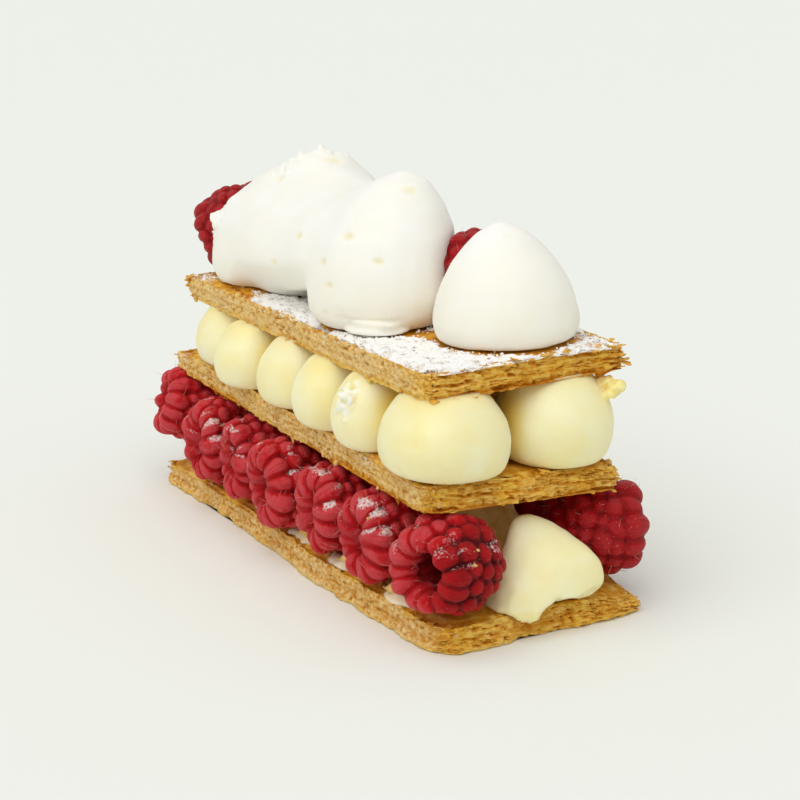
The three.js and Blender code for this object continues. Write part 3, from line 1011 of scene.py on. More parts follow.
@dataclass
class PastrySheet:
    """One sheet of baked puff pastry, from the same sizes as its solid."""

    node: str
    length: float
    width: float
    thickness: float
    middle: tuple[float, float, float]
    turn: float
    lean: tuple[float, float]
    # for each corner, how far it sinks and how much it is rounded
    drops: tuple[float, float, float, float]
    rounding: tuple[float, float, float, float]
    seed: int
    flat_base: bool = False
    leaves: int = 9
    hanging: float = 0.6
    paler: float = 0.0
    sugared: tuple[Spot, ...] = ()
    # where sugar drifted on the top face and where it is bare: x, y, the reach along both and, for a
    # drift, its strength
    drifts: tuple[tuple[float, float, float, float, float], ...] = ()
    bare: tuple[tuple[float, float, float, float], ...] = ()

    def boxed(self) -> Piece:
        """Models the sheet as a finely cut slab at the origin.

        Returns:
            The slab, unleaned and unturned.
        """
        deselect_all()
        bpy.ops.mesh.primitive_cube_add(size=1)
        slab = bpy.context.active_object
        slab.name = slab.data.name = self.node.replace("pastry", "puff_pastry")
        whole = (self.length, self.width, self.thickness)
        for corner in slab.data.vertices:
            corner.co = Vector([share * size for share, size in zip(corner.co, whole)]) * MM
        for axis, cuts in ((0, 19), (0, 16), (1, 95), (2, 27)):
            bpy.ops.object.mode_set(mode="EDIT")
            bpy.ops.mesh.select_mode(type="EDGE")
            bpy.ops.mesh.select_all(action="DESELECT")
            bpy.ops.object.mode_set(mode="OBJECT")
            run = np.abs(np.diff(read_points(slab)[read_edges(slab)], axis=1)[:, 0])
            slab.data.edges.foreach_set("select", run.argmax(axis=1) == axis)
            bpy.ops.object.mode_set(mode="EDIT")
            bpy.ops.mesh.subdivide(number_cuts=cuts)
            bpy.ops.object.mode_set(mode="OBJECT")
        return slab

    def corner_drop(self, x: Points, y: Points) -> Points:
        """How far the top sinks near each corner.

        Args:
            x: places along the sheet.
            y: places across it.

        Returns:
            Millimetres.
        """
        drop = np.zeros(len(x))
        for (side_x, side_y), fall in zip(((1, -1), (1, 1), (-1, -1), (-1, 1)), self.drops):
            away = np.hypot(x - side_x * self.length / 2, y - side_y * self.width / 2)
            drop += fall * (1 - step(0, CORNER_REACH, away))
        return drop

    def rounded(self, points: Points) -> Points:
        """Pulls the corners in, seen from above.

        Args:
            points: the slab's vertices.

        Returns:
            The moved vertices.
        """
        cell = np.array([self.length / 22, self.width / 8])
        over = np.maximum(0, np.abs(points[:, :2]) - np.array([self.length, self.width]) / 2 + cell) / cell
        both = (over > 0).all(axis=1)
        corner = np.where(points[:, 0] > 0, 0, 2) + np.where(points[:, 1] > 0, 1, 0)
        far = np.maximum(np.hypot(over[:, 0], over[:, 1]), 1e-9)
        pull = np.asarray(self.rounding)[corner] * (1 - over.max(axis=1) / far) * both
        moved = points.copy()
        moved[:, :2] -= np.sign(points[:, :2]) * over * pull[:, None] * cell
        return moved

    def to_edge(self, x: Points, y: Points) -> Points:
        """How far a place on the sheet is from its nearest edge."""
        return np.minimum(self.length / 2 - np.abs(x), self.width / 2 - np.abs(y))

    def face_relief(self, x: Points, y: Points) -> tuple[Points, Points]:
        """How the top leaf blisters and peels.

        Args:
            x: places along the sheet.
            y: places across it.

        Returns:
            The height over the plain face, and how deep it shows, from 0 to 1.
        """
        flat = np.stack([x, y, np.full(len(x), self.seed * 3.1)], axis=1)
        edge = self.to_edge(x, y)
        blister = 0.16 * uneven(flat, 7.0, self.seed + 1) + 0.12 * uneven(flat, 2.4, self.seed + 2, 2)
        height = blister
        for n, (inset, wandering, size, slope, leaf) in enumerate(TOP_LEAVES):
            wander = wandering * uneven(flat, size, self.seed + 3 + n, 2)
            height = height - leaf * (1 - step(0.0, slope, edge - inset - wander))
        split = step(0.42, 0.6, uneven(flat, (5.0, 1.2, 1), self.seed + 5, 2))
        height = height - 0.2 * split
        # how deep it shows: raised blisters painted paler as painted light, splits painted darker
        depth = 0.3 + 0.2 * uneven(flat, 1.5, self.seed + 6) - 0.8 * blister + 0.22 * split
        return height, depth

    def side_relief(self, points: Points) -> tuple[Points, Points]:
        """How far the ragged side is set back at each place, from its leaves, splits and crumb.

        Args:
            points: the slab's vertices.

        Returns:
            The setback in millimetres, and how deep it shows, from 0 to 1.
        """
        rows = (points[:, 2] / self.thickness + 0.5) * (len(LAYER_SETBACK) - 1)
        base = np.interp(rows, range(len(LAYER_SETBACK)), LAYER_SETBACK)
        long_side = (np.abs(points[:, 1]) > self.width / 2 - TOUCH).astype(float)
        long_side *= 1 - 0.7 * step(self.length / 2 - 4.0, self.length / 2, np.abs(points[:, 0]))
        plan = points * (1, 1, 0)
        # the side bows, and each leaf has a ledge of its own and a seam to the next
        bow = 0.8 * uneven(plan, 15, self.seed + 10) + 0.3 * uneven(plan, 4, self.seed + 11)
        leaf = (points[:, 2] / self.thickness + 0.5) * self.leaves
        leaf += 1.0 * uneven(plan, 12, self.seed + 12) + 0.5 * uneven(plan, 3.0, self.seed + 13)
        number = np.floor(leaf)
        in_leaf = leaf - number
        tagged = plan + number[:, None] * np.array([3.7, 1.9, 11.3])
        ledge = 0.34 * uneven(tagged, 5, self.seed + 14) + 0.2 * uneven(tagged, 1.6, self.seed + 15)
        seam = 1 - step(0, 0.34, np.minimum(in_leaf, 1 - in_leaf))
        seam *= 0.45 + 0.55 * uneven(tagged, 3, self.seed + 16)
        # the long sides were cut, so they show crumb where the ends show leaves
        hole = step(0.3, 0.8, uneven(points, (0.95, 0.95, 0.55), self.seed + 17, 2))
        away, whose = lumps(points * (1, 1, 1.1), 1.0, self.seed + 18)
        crumb = step(0.25, 0.75, away) * 0.2 + 0.14 * whose
        crumbly = 0.6 + 0.4 * long_side
        flaky = 1 - 0.72 * long_side
        fine = 0.12 * uneven(points, 0.9, self.seed + 19)
        setback = base * (0.4 + 0.6 * flaky) + bow + (ledge + 0.2 * seam) * flaky
        setback += 0.55 * hole * (0.4 + 0.6 * flaky) + crumb * crumbly + fine
        # painted shade: seams, ledges, holes and the gaps between crumbs are coloured darker
        depth = 0.12 + (0.2 * seam + 0.2 * ledge) * flaky + 0.25 * hole + 0.35 * (crumb - 0.1) * crumbly
        return setback, depth

    def browned(self, points: Points) -> Points:
        """How golden the baking left each place: the skins and the ends more, the cut long sides less.

        Args:
            points: the slab's vertices.

        Returns:
            Numbers from 0 to 1.
        """
        share = np.abs(points[:, 2]) / (self.thickness / 2)
        long_side = np.abs(points[:, 1]) > self.width / 2 - TOUCH
        patchy = 0.25 * uneven(points, 4.0, self.seed + 40, 2)
        cut = 0.12 + 0.6 * step(0.6, 1.0, share + 0.6 * patchy)
        cut += (0.8 - cut) * step(self.length / 2 - 5.0, self.length / 2, np.abs(points[:, 0]) + 4 * patchy)
        return np.where(long_side, cut, 0.85) + patchy

    def sugar_at(self, points: Points) -> Points:
        """How thickly icing sugar lies at places in the slice, from 0 to 1.

        Args:
            points: places in millimetres.

        Returns:
            Numbers from 0 to 1.
        """
        cover = np.zeros(len(points))
        for x, y, reach_x, reach_y, strength in self.drifts:
            away = np.hypot((points[:, 0] - x) / reach_x, (points[:, 1] - y) / reach_y)
            cover = np.maximum(cover, strength * (1 - step(0.7, 1.15, away)))
        for x, y, reach_x, reach_y in self.bare:
            away = np.hypot((points[:, 0] - x) / reach_x, (points[:, 1] - y) / reach_y)
            cover *= step(0.93, 1.08, away)
        return cover

    def top_at(self, x: Points, y: Points) -> Points:
        """Places on the sheet's uneven upper face.

        Args:
            x: places along the unleaned sheet.
            y: places across it.

        Returns:
            Places in the slice, in millimetres.
        """
        relief, _ = self.face_relief(x, y)
        height = self.thickness / 2 + relief - self.corner_drop(x, y)
        return self.leaned(np.stack([x, y, height], axis=1))

    def shaped(self, points: Points) -> tuple[Points, Points]:
        """Turns the plain slab into the sheet.

        Args:
            points: the slab's vertices.

        Returns:
            The sheet's vertices in place, and how deep each lies.
        """
        half = np.array([self.length, self.width, self.thickness]) / 2
        on_end, on_long = (np.abs(points[:, :2]) > half[:2] - TOUCH).T
        on_top = points[:, 2] > half[2] - TOUCH
        on_base = points[:, 2] < TOUCH - half[2]
        side = on_end | on_long
        setback, side_depth = self.side_relief(points)
        if self.flat_base:
            setback -= 1.0 * (1 - step(0, 0.4, points[:, 2] / self.thickness + 0.5))
        relief, top_depth = self.face_relief(points[:, 0], points[:, 1])
        under, under_depth = self.face_relief(points[:, 0] + 200, points[:, 1])
        share = (points[:, 2] / half[2] + 1) / 2
        drop = self.corner_drop(points[:, 0], points[:, 1]) * share
        moved = self.rounded(points)
        out = np.stack([on_end * np.sign(points[:, 0]), on_long * np.sign(points[:, 1])], axis=1)
        out /= np.maximum(np.linalg.norm(out, axis=1, keepdims=True), 1)
        moved[:, :2] -= out * setback[:, None]
        moved[:, 2] -= drop * ~on_base
        moved[:, 2] += relief * on_top
        plan = points * (1, 1, 0)
        # the lowest leaf hangs in a fringe that frays out at the corners
        fray = step(0.1, 0.9, uneven(plan, 1.1, self.seed + 30))
        fray *= step(-0.2, 0.5, uneven(plan, 6, self.seed + 31))
        fray *= step(1.0, 6.0, np.hypot(*(half[:2] - np.abs(points[:, :2])).T))
        if not self.flat_base:
            moved[:, 2] -= np.abs(under) * on_base * 0.6
            low = (1 - step(0.0, 0.22, share)) * side
            moved[:, 2] -= self.hanging * 1.6 * fray * low
        depth = np.where(side, side_depth - self.paler * on_long, np.where(on_top, top_depth, under_depth))
        return self.leaned(moved), depth

    def leaned(self, points: Points) -> Points:
        """Leans, turns and moves points from the slab to the sheet's place.

        Args:
            points: places on the slab.

        Returns:
            Places in the slice.
        """
        height = points[:, 2] + self.lean[0] * points[:, 0] + self.lean[1] * points[:, 1]
        c, s = math.cos(self.turn), math.sin(self.turn)
        x = c * points[:, 0] - s * points[:, 1] + self.middle[0]
        y = s * points[:, 0] + c * points[:, 1] + self.middle[1]
        return np.stack([x, y, height + self.middle[2]], axis=1)

    def face_at(self, x: Points, y: Points, face: Face) -> Points:
        """The height of the plain upper or lower face over a place in the slice.

        Args:
            x: places along the slice.
            y: places across it.
            face: which face.

        Returns:
            Heights in millimetres.
        """
        c, s = math.cos(-self.turn), math.sin(-self.turn)
        along = c * (x - self.middle[0]) - s * (y - self.middle[1])
        across = s * (x - self.middle[0]) + c * (y - self.middle[1])
        return self.middle[2] + face.value * self.thickness / 2 + self.lean[0] * along + self.lean[1] * across

    def build(self, finishes: Finishes) -> Piece:
        """Models and dresses the sheet.

        Args:
            finishes: the slice's materials.

        Returns:
            The sheet.
        """
        slab = self.boxed()
        plain = read_points(slab)
        points, depth = self.shaped(plain)
        on_top = plain[:, 2] > 0.49 * self.thickness
        write_points(slab, points)
        # painted shade in creases and painted light on crests, from how sunken each vertex is
        write_mask(slab, "depth", depth + 0.9 * np.clip(sunken(slab, 10), -0.3, 0.5))
        write_mask(slab, "gold", self.browned(plain))
        write_mask(slab, "dust", np.maximum(near(points, self.sugared), self.sugar_at(points) * on_top))
        return hand_in(slab, finishes.pastry, [self.node], crisp=60)


BOTTOM = PastrySheet(
    "pastry_bottom", 126.8, 46.2, 5.2, (0, -0.4, 2.6), 0, (0, 0), (0.4, 2.3, 0.6, 0.8), (1, 0.4, 0.6, 0.5), 11,
    flat_base=True,
)
BOTTOM_FACE = BOTTOM.middle[2] + BOTTOM.thickness / 2
MIDDLE = PastrySheet(
    "pastry_middle", 120.2, 43.2, 5.0, (-0.56, -0.55, 28.7), -0.032, (-0.012, -0.034),
    (0.5, 0.9, 0.8, 0.6), (1, 0.3, 0.4, 0.4), 47, hanging=1.0, paler=0.05,
    sugared=((33.0, -21.6, 31.0, 5.5, 0.5), (-57.0, -20.3, 31.2, 4.5, 0.5), (20.0, -21.6, 31.0, 3.0, 0.3)),
)
TOP = PastrySheet(
    "pastry_top", 116.2, 43.4, 5.0, (0.22, 0.93, 49.41), -0.039, (0.008, 0.035),
    (0.3, 0.7, 0.4, 0.9), (0.9, 0.15, 0.3, 0.3), 83, hanging=1.0, paler=0.14,
    drifts=(
        (-4, -15, 24, 9, 1.0), (14, 4, 18, 16, 1.0), (44, -15, 18, 8.5, 1.0), (26, -20, 14, 6, 0.9),
        (57, 0, 6.5, 18, 0.95), (48, 15, 14, 8, 0.7), (0, 15, 26, 7, 0.75), (-52, -14, 9, 7, 0.55),
        (-44, 12, 14, 8, 0.5),
    ),
    bare=(
        (-39, -5.5, 12.6, 12.6), (-24, -0.4, 12.4, 12.4), (14.7, -7.3, 12.2, 12.2), (43, 3.5, 13.2, 13.2),
        (-52.4, -6.3, 8, 8),
    ),
)


# ---------------------------------------------------------------- raspberries

# the rings and the hollow are drawn on a berry of this radius and half length
DRAWN_RADIUS = 8.8
DRAWN_HALF = 9.0
# between these the hollow's surface gives way to the drupelets, outwards and at its floor
HOLLOW_RIM = (3.2, 4.8)
HOLLOW_FLOOR = (-3.6, -2.0)
# sugar falls on the berries in front of the sheet above, past its end and on the top layer
SHEET_FRONT = (-24.0, -20.5)
SHEET_END = (60, 63)
TOP_LAYER = 50


@dataclass(frozen=True)
class DrupeletRing:
    """One ring of drupelets on the drawn berry: its middle, its number of drupelets and their half sizes."""

    along: float
    out: float
    count: int
    half: tuple[float, float, float]


DRUPELET_RINGS = (
    DrupeletRing(6.2, 5.6, 12, (1.95, 2.7, 2.8)),
    DrupeletRing(3.4, 6.35, 14, (1.85, 2.35, 2.0)),
    DrupeletRing(0.9, 6.55, 14, (1.9, 2.3, 1.9)),
    DrupeletRing(-1.6, 6.1, 13, (1.9, 2.3, 1.9)),
    DrupeletRing(-3.9, 5.0, 11, (1.9, 2.2, 1.9)),
    DrupeletRing(-5.9, 3.3, 8, (1.75, 2.0, 1.9)),
    DrupeletRing(-7.1, 1.2, 4, (1.6, 1.6, 1.8)),
)
# the wall round the hollow, from the berry's tip over the rim to the hollow's floor: out and along
HOLLOW_PROFILE = (
    (0.0, -7.2), (3.0, -6.4), (5.2, -3.6), (6.3, 0.0), (6.3, 3.6), (5.6, 6.6), (4.4, 7.6),
    (3.6, 6.6), (3.5, 4.2), (3.3, 1.2), (2.4, -1.6), (0.0, -3.0),
)
CUP_SIDES = 60


@dataclass
class Raspberry:
    """One raspberry on its side: rings of drupelets round a hollow that opens at one end."""

    node: str
    x: float
    y: float
    half: tuple[float, float, float]
    turn: float
    lift: float = 0.0
    z: float = 0.0
    squeeze: float = 0.0
    seed: int = 0
    voxel: float = 0.32
    sugar: float = 0.3
    # how much the hollow is painted with a glow of light through the flesh
    bright: float = 0.3
    # how much painted shade darkens the far right flank
    shaded_flank: float = 0.0
    full: float = 1.1
    rim: float = 1.0
    opened: float = 1.0
    moist: bool = False

    def frame(self) -> tuple[Points, Points]:
        """Where the berry lies.

        Returns:
            Its middle, and a turn whose axes run across it, up it and out of its hollow.
        """
        low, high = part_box(self.node)
        height = self.z or (low.z + high.z) / 2 / MM
        away = math.cos(self.lift)
        out = np.array([math.sin(self.turn) * away, -math.cos(self.turn) * away, math.sin(self.lift)])
        across = np.array([math.cos(self.turn), math.sin(self.turn), 0])
        return np.array([self.x, self.y, height]), np.stack([across, np.cross(out, across), out], axis=1)

    def size(self) -> Points:
        """Compares the berry with the one that the rings are drawn for.

        Returns:
            Its size over theirs, across, up and along it.
        """
        low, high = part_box(self.node)
        width, length, height = self.half
        tall = height or (high.z - low.z) / 2 / MM
        return np.array([width / DRAWN_RADIUS, tall / DRAWN_RADIUS, length / DRAWN_HALF])

    def drupelets(self, rng: np.random.Generator) -> list[Points]:
        """Sets out the drupelets.

        Args:
            rng: unevens them.

        Returns:
            A matrix for each.
        """
        places = []
        for row, ring in enumerate(DRUPELET_RINGS):
            phase = rng.uniform(0, 0.5) + 0.5 * row
            for n in range(ring.count):
                angle = 2 * math.pi * (n + phase + rng.normal(0, 0.07)) / ring.count
                c, s = math.cos(angle), math.sin(angle)
                press = self.squeeze * c * c if ring.along > -1 else 0
                grow = np.clip(rng.normal(1, 0.09), 0.85, 1.16)
                out = ring.out - press + rng.normal(0, 0.12)
                along = ring.along + rng.normal(0, 0.22)
                middle = np.array([c * out, s * out, along])
                turn = np.array([[-s, c, 0], [c, s, 0], [0, 0, 1]]).T
                half = np.array(ring.half) * grow * (1, 1 + press / ring.half[1], rng.normal(1, 0.05))
                half *= (self.full, 1 if row else self.rim, self.full)
                tilt = rng.normal(0, 0.12)
                up, down = math.cos(tilt), math.sin(tilt)
                lean = np.array([[up, 0, down], [0, 1, 0], [-down, 0, up]])
                places.append(placed(middle, turn @ lean, half))
        return places

    def cup(self) -> Piece:
        """Models the wall round the hollow, wrinkled where the drupelets meet inside it.

        Returns:
            The wall, as a closed shape.
        """
        sides, last_row = CUP_SIDES, len(HOLLOW_PROFILE) - 3
        points, faces = [], []
        for out, along in HOLLOW_PROFILE[1:-1]:
            for n in range(sides):
                angle = 2 * math.pi * n / sides
                inner = out < 4.0 and along > -2
                wrinkle = 1 + (0.07 * abs(math.sin(angle * 7 + along * 0.25 + self.seed)) if inner else 0)
                press = 1 - (2 * self.squeeze / 3.4 * min(1, out / 2) if inner else 0)
                wide = out * wrinkle * (self.opened if inner else 1)
                points.append([wide * math.cos(angle) * press, wide * math.sin(angle), along])
        for row in range(last_row):
            for n in range(sides):
                a, b = row * sides + n, row * sides + (n + 1) % sides
                faces.append([a, b, b + sides, a + sides])
        points += [[0, 0, HOLLOW_PROFILE[0][1]], [0, 0, HOLLOW_PROFILE[-1][1]]]
        last = last_row * sides
        tip, floor = last + sides, last + sides + 1
        for n in range(sides):
            faces.append([tip, (n + 1) % sides, n])
            faces.append([floor, last + n, last + (n + 1) % sides])
        return piece_from("wall", np.array(points), faces)

    def dusted(self, points: Points, normals: Points) -> Points:
        """How much icing sugar the berry caught where it stands out from under the sheet.

        Args:
            points: its vertices in place.
            normals: the directions that they face.

        Returns:
            Numbers from 0 to 1.
        """
        open_sky = np.maximum(1 - step(*SHEET_FRONT, points[:, 1]), float(self.z > TOP_LAYER))
        open_sky = np.maximum(open_sky, step(*SHEET_END, points[:, 0]))
        middle = self.frame()[0][2]
        open_sky *= step(middle - 1.0, middle + 3.0, points[:, 2])
        patchy = step(-0.15, 0.5, uneven(points, 3.2, self.seed + 7, 2))
        return self.sugar * open_sky * step(0.05, 0.6, normals[:, 2]) * patchy

    def build(self, finishes: Finishes, drupelet: Shape) -> Piece:
        """Models and dresses the berry.

        Args:
            finishes: the slice's materials.
            drupelet: the ball that the drupelets are copied from.

        Returns:
            The berry.
        """
        places = self.drupelets(np.random.default_rng(self.seed))
        berry = join([repeated(self.node.replace("berry", "raspberry"), drupelet, places), self.cup()])
        remesh(berry, self.voxel * (1))
        local = read_points(berry)
        out = np.hypot(local[:, 0], local[:, 1])
        inner = (1 - step(*HOLLOW_RIM, out)) * step(*HOLLOW_FLOOR, local[:, 2])
        # painted glow of light through the flesh on the hollow's wall
        hollow = self.bright * inner * step(1.0, 6.0, local[:, 2])
        # painted shade deep in the hollow and on the far right flank
        hollow_and_flank_shade = 0.4 * (1 - self.bright) * inner * (1 - step(-1.0, 6.5, local[:, 2]))
        hollow_and_flank_shade += self.shaded_flank * step(0.5, 6.0, local[:, 0])
        grain = local / np.maximum(out, 0.5)[:, None] * (8, 8, 0)
        grain[:, 2] = 0.3 * (local[:, 2] + out)
        seed = np.array([self.seed * 13.0, 0, 0])
        local = local + 0.4 * np.stack([uneven(local + seed, 6.0, self.seed + n) for n in range(3)], axis=1)
        middle, turn = self.frame()
        write_points(berry, middle + (local * self.size()) @ turn.T)
        # painted shade in the creases and painted sheen on the crests
        write_mask(berry, "depth", 0.22 + hollow_and_flank_shade + 2.4 * np.clip(sunken(berry, 8), -0.1, 0.4))
        write_mask(berry, "hollow", hollow)
        write_mask(berry, "dust", self.dusted(read_points(berry), read_normals(berry)))
        streaks = berry.data.attributes.new("grain", "FLOAT_VECTOR", "POINT")
        streaks.data.foreach_set("vector", (grain * MM).ravel())
        flesh = finishes.moist if self.moist else finishes.raspberry
        return hand_in(berry, flesh, [self.node])


def row_of_berries() -> list[Raspberry]:
    """Lists the raspberries with their sizes and places, as in the part's source.

    Returns:
        The front row, the back row and the two on top.
    """
    pi = math.pi
    front = (
        (-57.2, -16.6, 8.7, 9, 8.8, -0.25, 0.3, 0.2),
        (-37.2, -17.8, 8.6, 9, 0, 0.05, 0, 1.35),
        (-19.8, -17.2, 8.3, 8.8, 0, -0.08, 0, 1.4),
        (-1.5, -19.2, 9.2, 9, 0, 0.06, 0, 1.35),
        (18.6, -17.6, 9, 9, 0, 0, 0, 1.35),
        (37, -17.6, 8.8, 9, 0, 0.05, 0, 1.3),
        (57.2, -16.6, 10.6, 9.8, 0, 0.3, 0, 0.45),
    )
    back = (
        (52.2, 18.2, 9.3, 9.4, 9.5, pi - 0.5),
        (32.6, 17.4, 8.8, 9, 0, pi),
        (14, 18.2, 9, 9, 0, pi + 0.08),
        (-4.6, 17.2, 8.9, 9, 0, pi - 0.06),
        (-23.4, 18, 9, 9, 0, pi),
        (-41.8, 17.4, 8.7, 9, 0, pi + 0.06),
        (-58.8, 15.6, 7.9, 8.6, 9.3, pi + 0.2),
    )
    inner = {"sugar": 0.8, "bright": 0.25}
    # the first has a hollow painted bright as a glow of light through the flesh, and the last has painted shade
    # on its far right flank and stands wide open
    ends = {
        0: {"sugar": 0.45, "bright": 0.9},
        6: {"sugar": 0.45, "shaded_flank": 0.5, "rim": 0.84, "opened": 1.22},
    }
    berries = [
        Raspberry(
            f"berry_front_{n + 1}", x, y, (w, l, h), turn, lift, squeeze=press, seed=101 + n,
            **{**inner, **ends.get(n, {})},
        )
        for n, (x, y, w, l, h, turn, lift, press) in enumerate(front)
    ]
    berries += [
        Raspberry(
            f"berry_back_{n + 1}", x, y, (w, l, h), turn, seed=201 + n, voxel=0.34 if n == 0 else 0.42,
            sugar=0.15, full=1.15, moist=True,
        )
        for n, (x, y, w, l, h, turn) in enumerate(back)
    ]
    top = (
        ("left", -52.4, -6.3, (9.6, 9.6, 9.4), -0.9, -0.4, 62.3),
        ("right", 26.8, 6.4, (8.4, 8.4, 8.4), 2.6, -0.3, 63.0),
    )
    berries += [
        Raspberry(f"berry_top_{side}", *place, seed=301 + n, sugar=0, moist=True)
        for n, (side, *place) in enumerate(top)
    ]
    return berries


# ---------------------------------------------------------------- creams

# how wide a dollop is at each height, both as shares of its own
DOLLOP_HEIGHTS = (0.0, 0.04, 0.1, 0.27, 0.45, 0.66, 0.85, 0.96, 1.0)
DOLLOP_WIDTHS = (0.74, 0.84, 0.91, 0.985, 1.0, 0.93, 0.77, 0.65, 0.56)
DOLLOP_TALLNESS = 1.7
DOLLOP_CLEARANCE = 0.1


@dataclass(frozen=True)
class Lobe:
    """An egg-shaped lobe of cream: its middle, its half sizes, how far it hangs and its turn about Z."""

    middle: tuple[float, float, float]
    half: tuple[float, float, float]
    under: float
    turn: float = 0.0

    def build(self) -> Piece:
        """Models the lobe.

        Returns:
            The lobe, ready to be joined.
        """
        lobe, ball = new_ball("lobe", 40, 28)
        ball[:, 2] *= np.where(ball[:, 2] > 0, self.half[2], self.under)
        c, s = math.cos(self.turn), math.sin(self.turn)
        x, y = ball[:, 0] * self.half[0], ball[:, 1] * self.half[1]
        write_points(lobe, np.stack([c * x - s * y, s * x + c * y, ball[:, 2]], axis=1) + self.middle)
        return lobe


@dataclass
class LemonDollop:
    """One piped barrel of lemon cream between the middle and the top sheets."""

    node: str
    x: float
    y: float
    half: tuple[float, float]
    seed: int
    # the other dollops: x, y and half sizes
    neighbours: tuple[tuple[float, float, float, float], ...] = ()
    marks: tuple[Spot, ...] = ()
    scuffs: tuple[Spot, ...] = ()
    dab: tuple[Lobe, ...] = ()
    dab_tint: float = 0.5
    squareness: float = 2.3

    def build(self, finishes: Finishes) -> Piece:
        """Models and dresses the dollop.

        Args:
            finishes: the slice's materials.

        Returns:
            The dollop.
        """
        sides, rings = ((72, 48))
        dollop, ball = new_ball(self.node.replace("lemon", "lemon_cream"), sides, rings)
        around, share = round_and_up(ball)
        width, height = self.profile(share)
        c, s = np.cos(around), np.sin(around)
        square = (np.abs(c) ** self.squareness + np.abs(s) ** self.squareness) ** (-1 / self.squareness)
        flat = np.stack([c * 2, s * 2, height * 3], axis=1)
        swell = 1 + 0.03 * uneven(flat, 1.6, self.seed)
        x = self.x + self.half[0] * width * square * swell * c
        y = self.y + self.half[1] * width * square * swell * s
        low = MIDDLE.face_at(x, y, Face.UPPER) + DOLLOP_CLEARANCE
        top = TOP.face_at(x, y, Face.LOWER) - DOLLOP_CLEARANCE
        write_points(dollop, np.stack([x, y, low + (top - low) * height], axis=1))
        # painted shade under the sheet and between neighbours
        write_mask(dollop, "shade_and_marks", self.shaded(x, y, height))
        if self.dab:
            self.dabbed(dollop)
        points, normals = read_points(dollop), read_normals(dollop)
        torn = near(points, self.scuffs)
        ragged = np.maximum(0.8 * torn, 0.6 * near(points, self.dab_spots()))
        pushed = ragged * uneven(points, 1.0, self.seed + 1, 2) - 0.3 * near(points, self.marks)
        points += normals * pushed[:, None]
        write_points(dollop, points)
        tinted = 0.15 * near(points, self.marks), self.dab_tint * near(points, self.dab_spots())
        write_mask(dollop, "shade_and_marks", np.maximum.reduce([read_mask(dollop, "shade_and_marks"), *tinted]))
        write_mask(dollop, "scuff", torn * step(-0.2, 0.2, uneven(points, 1.4, self.seed + 2, 2)))
        return hand_in(dollop, finishes.lemon, [self.node])

    def profile(self, share: Points) -> Points:
        """Runs the barrel's widths and heights evenly along its outline.

        Args:
            share: places on the outline, from 0 at the foot to 1 at the top.

        Returns:
            A row of widths and a row of heights.
        """
        track = np.array([(0, 0.0), *zip(DOLLOP_WIDTHS, DOLLOP_HEIGHTS), (0, 1.0)])
        reach = np.r_[0, np.cumsum(np.hypot(*(np.diff(track, axis=0) * (1, DOLLOP_TALLNESS)).T))]
        spread = np.linspace(0, reach[-1], 160)
        smooth = eased(np.stack([np.interp(spread, reach, row) for row in track.T]), 24)
        return np.stack([np.interp(share * reach[-1], spread, row) for row in smooth])

    def shaded(self, x: Points, y: Points, height: Points) -> Points:
        """Painted shade: how much deeper the yellow is painted under the sheet and by neighbours, where light
        comes through cream.

        Args:
            x: places along the slice.
            y: places across it.
            height: how high between the sheets, from 0 to 1.

        Returns:
            Numbers from 0 to 1.
        """
        deep = 0.22 * step(0.75, 1.0, height)
        for other_x, other_y, other_width, other_depth in self.neighbours:
            away = np.hypot((x - other_x) / other_width, (y - other_y) / other_depth)
            deep = np.maximum(deep, (1 - step(1.04, 1.4, away)) * (0.5 + 0.5 * step(0.2, 0.7, height)))
        return deep

    def dab_spots(self) -> list[Spot]:
        """Lists where the dab of deeper cream lies, for tinting."""
        return [(*lobe.middle, 1.7 * lobe.half[0], 1.0) for lobe in self.dab if self.dab_tint]

    def dabbed(self, dollop: Piece) -> None:
        """Presses the dab of deeper cream on to the dollop.

        Args:
            dollop: the dollop, with its attribute of painted shade and marks.
        """
        join([dollop, *(lobe.build() for lobe in self.dab)])
        remesh(dollop, 0.42)
        relax(dollop, 1)
        x, y, z = read_points(dollop).T
        low, top = MIDDLE.face_at(x, y, Face.UPPER), TOP.face_at(x, y, Face.LOWER)
        # painted shade under the sheet and between neighbours, read again after the remesh
        write_mask(dollop, "shade_and_marks", self.shaded(x, y, (z - low) / (top - low)))


LEMON_MARKS = {
    (Row.FRONT, 6): (
        (58.3, -25.8, 39.4, 1.3, 0.8), (54.0, -26.6, 33.7, 2.0, 0.7), (62.0, -19.0, 33.2, 1.6, 0.6),
    ),
    (Row.FRONT, 5): ((31.3, -22.9, 46.0, 1.6, 0.7),),
    (Row.FRONT, 2): ((-23.5, -23.6, 44.8, 1.6, 0.7),),
}
LEMON_SCUFFS = {
    (Row.FRONT, 5): (
        (33.4, -26.2, 42.0, 3.4, 1.0), (33.0, -27.1, 39.1, 2.6, 1.0), (33.3, -24.6, 44.1, 2.6, 1.0),
    ),
}
LEMON_DABS = {
    (Row.BACK, 6): (
        Lobe((57.4, 16.6, 45.4), (2.0, 1.8, 1.2), 1.2),
        Lobe((60.0, 17.4, 45.0), (1.9, 1.7, 1.2), 1.2),
        Lobe((60.4, 16.0, 43.8), (1.3, 1.3, 0.9), 0.9),
        Lobe((58.6, 17.8, 43.7), (1.6, 1.3, 0.8), 0.8),
    ),
    (Row.FRONT, 5): (
        Lobe((33.6, -25.9, 42.4), (1.7, 0.9, 1.2), 1.2, 0.5),
        Lobe((32.9, -26.5, 40.4), (1.1, 0.8, 1.5), 1.5),
        Lobe((33.4, -24.9, 44.0), (1.9, 0.8, 0.8), 0.8, 0.9),
    ),
}


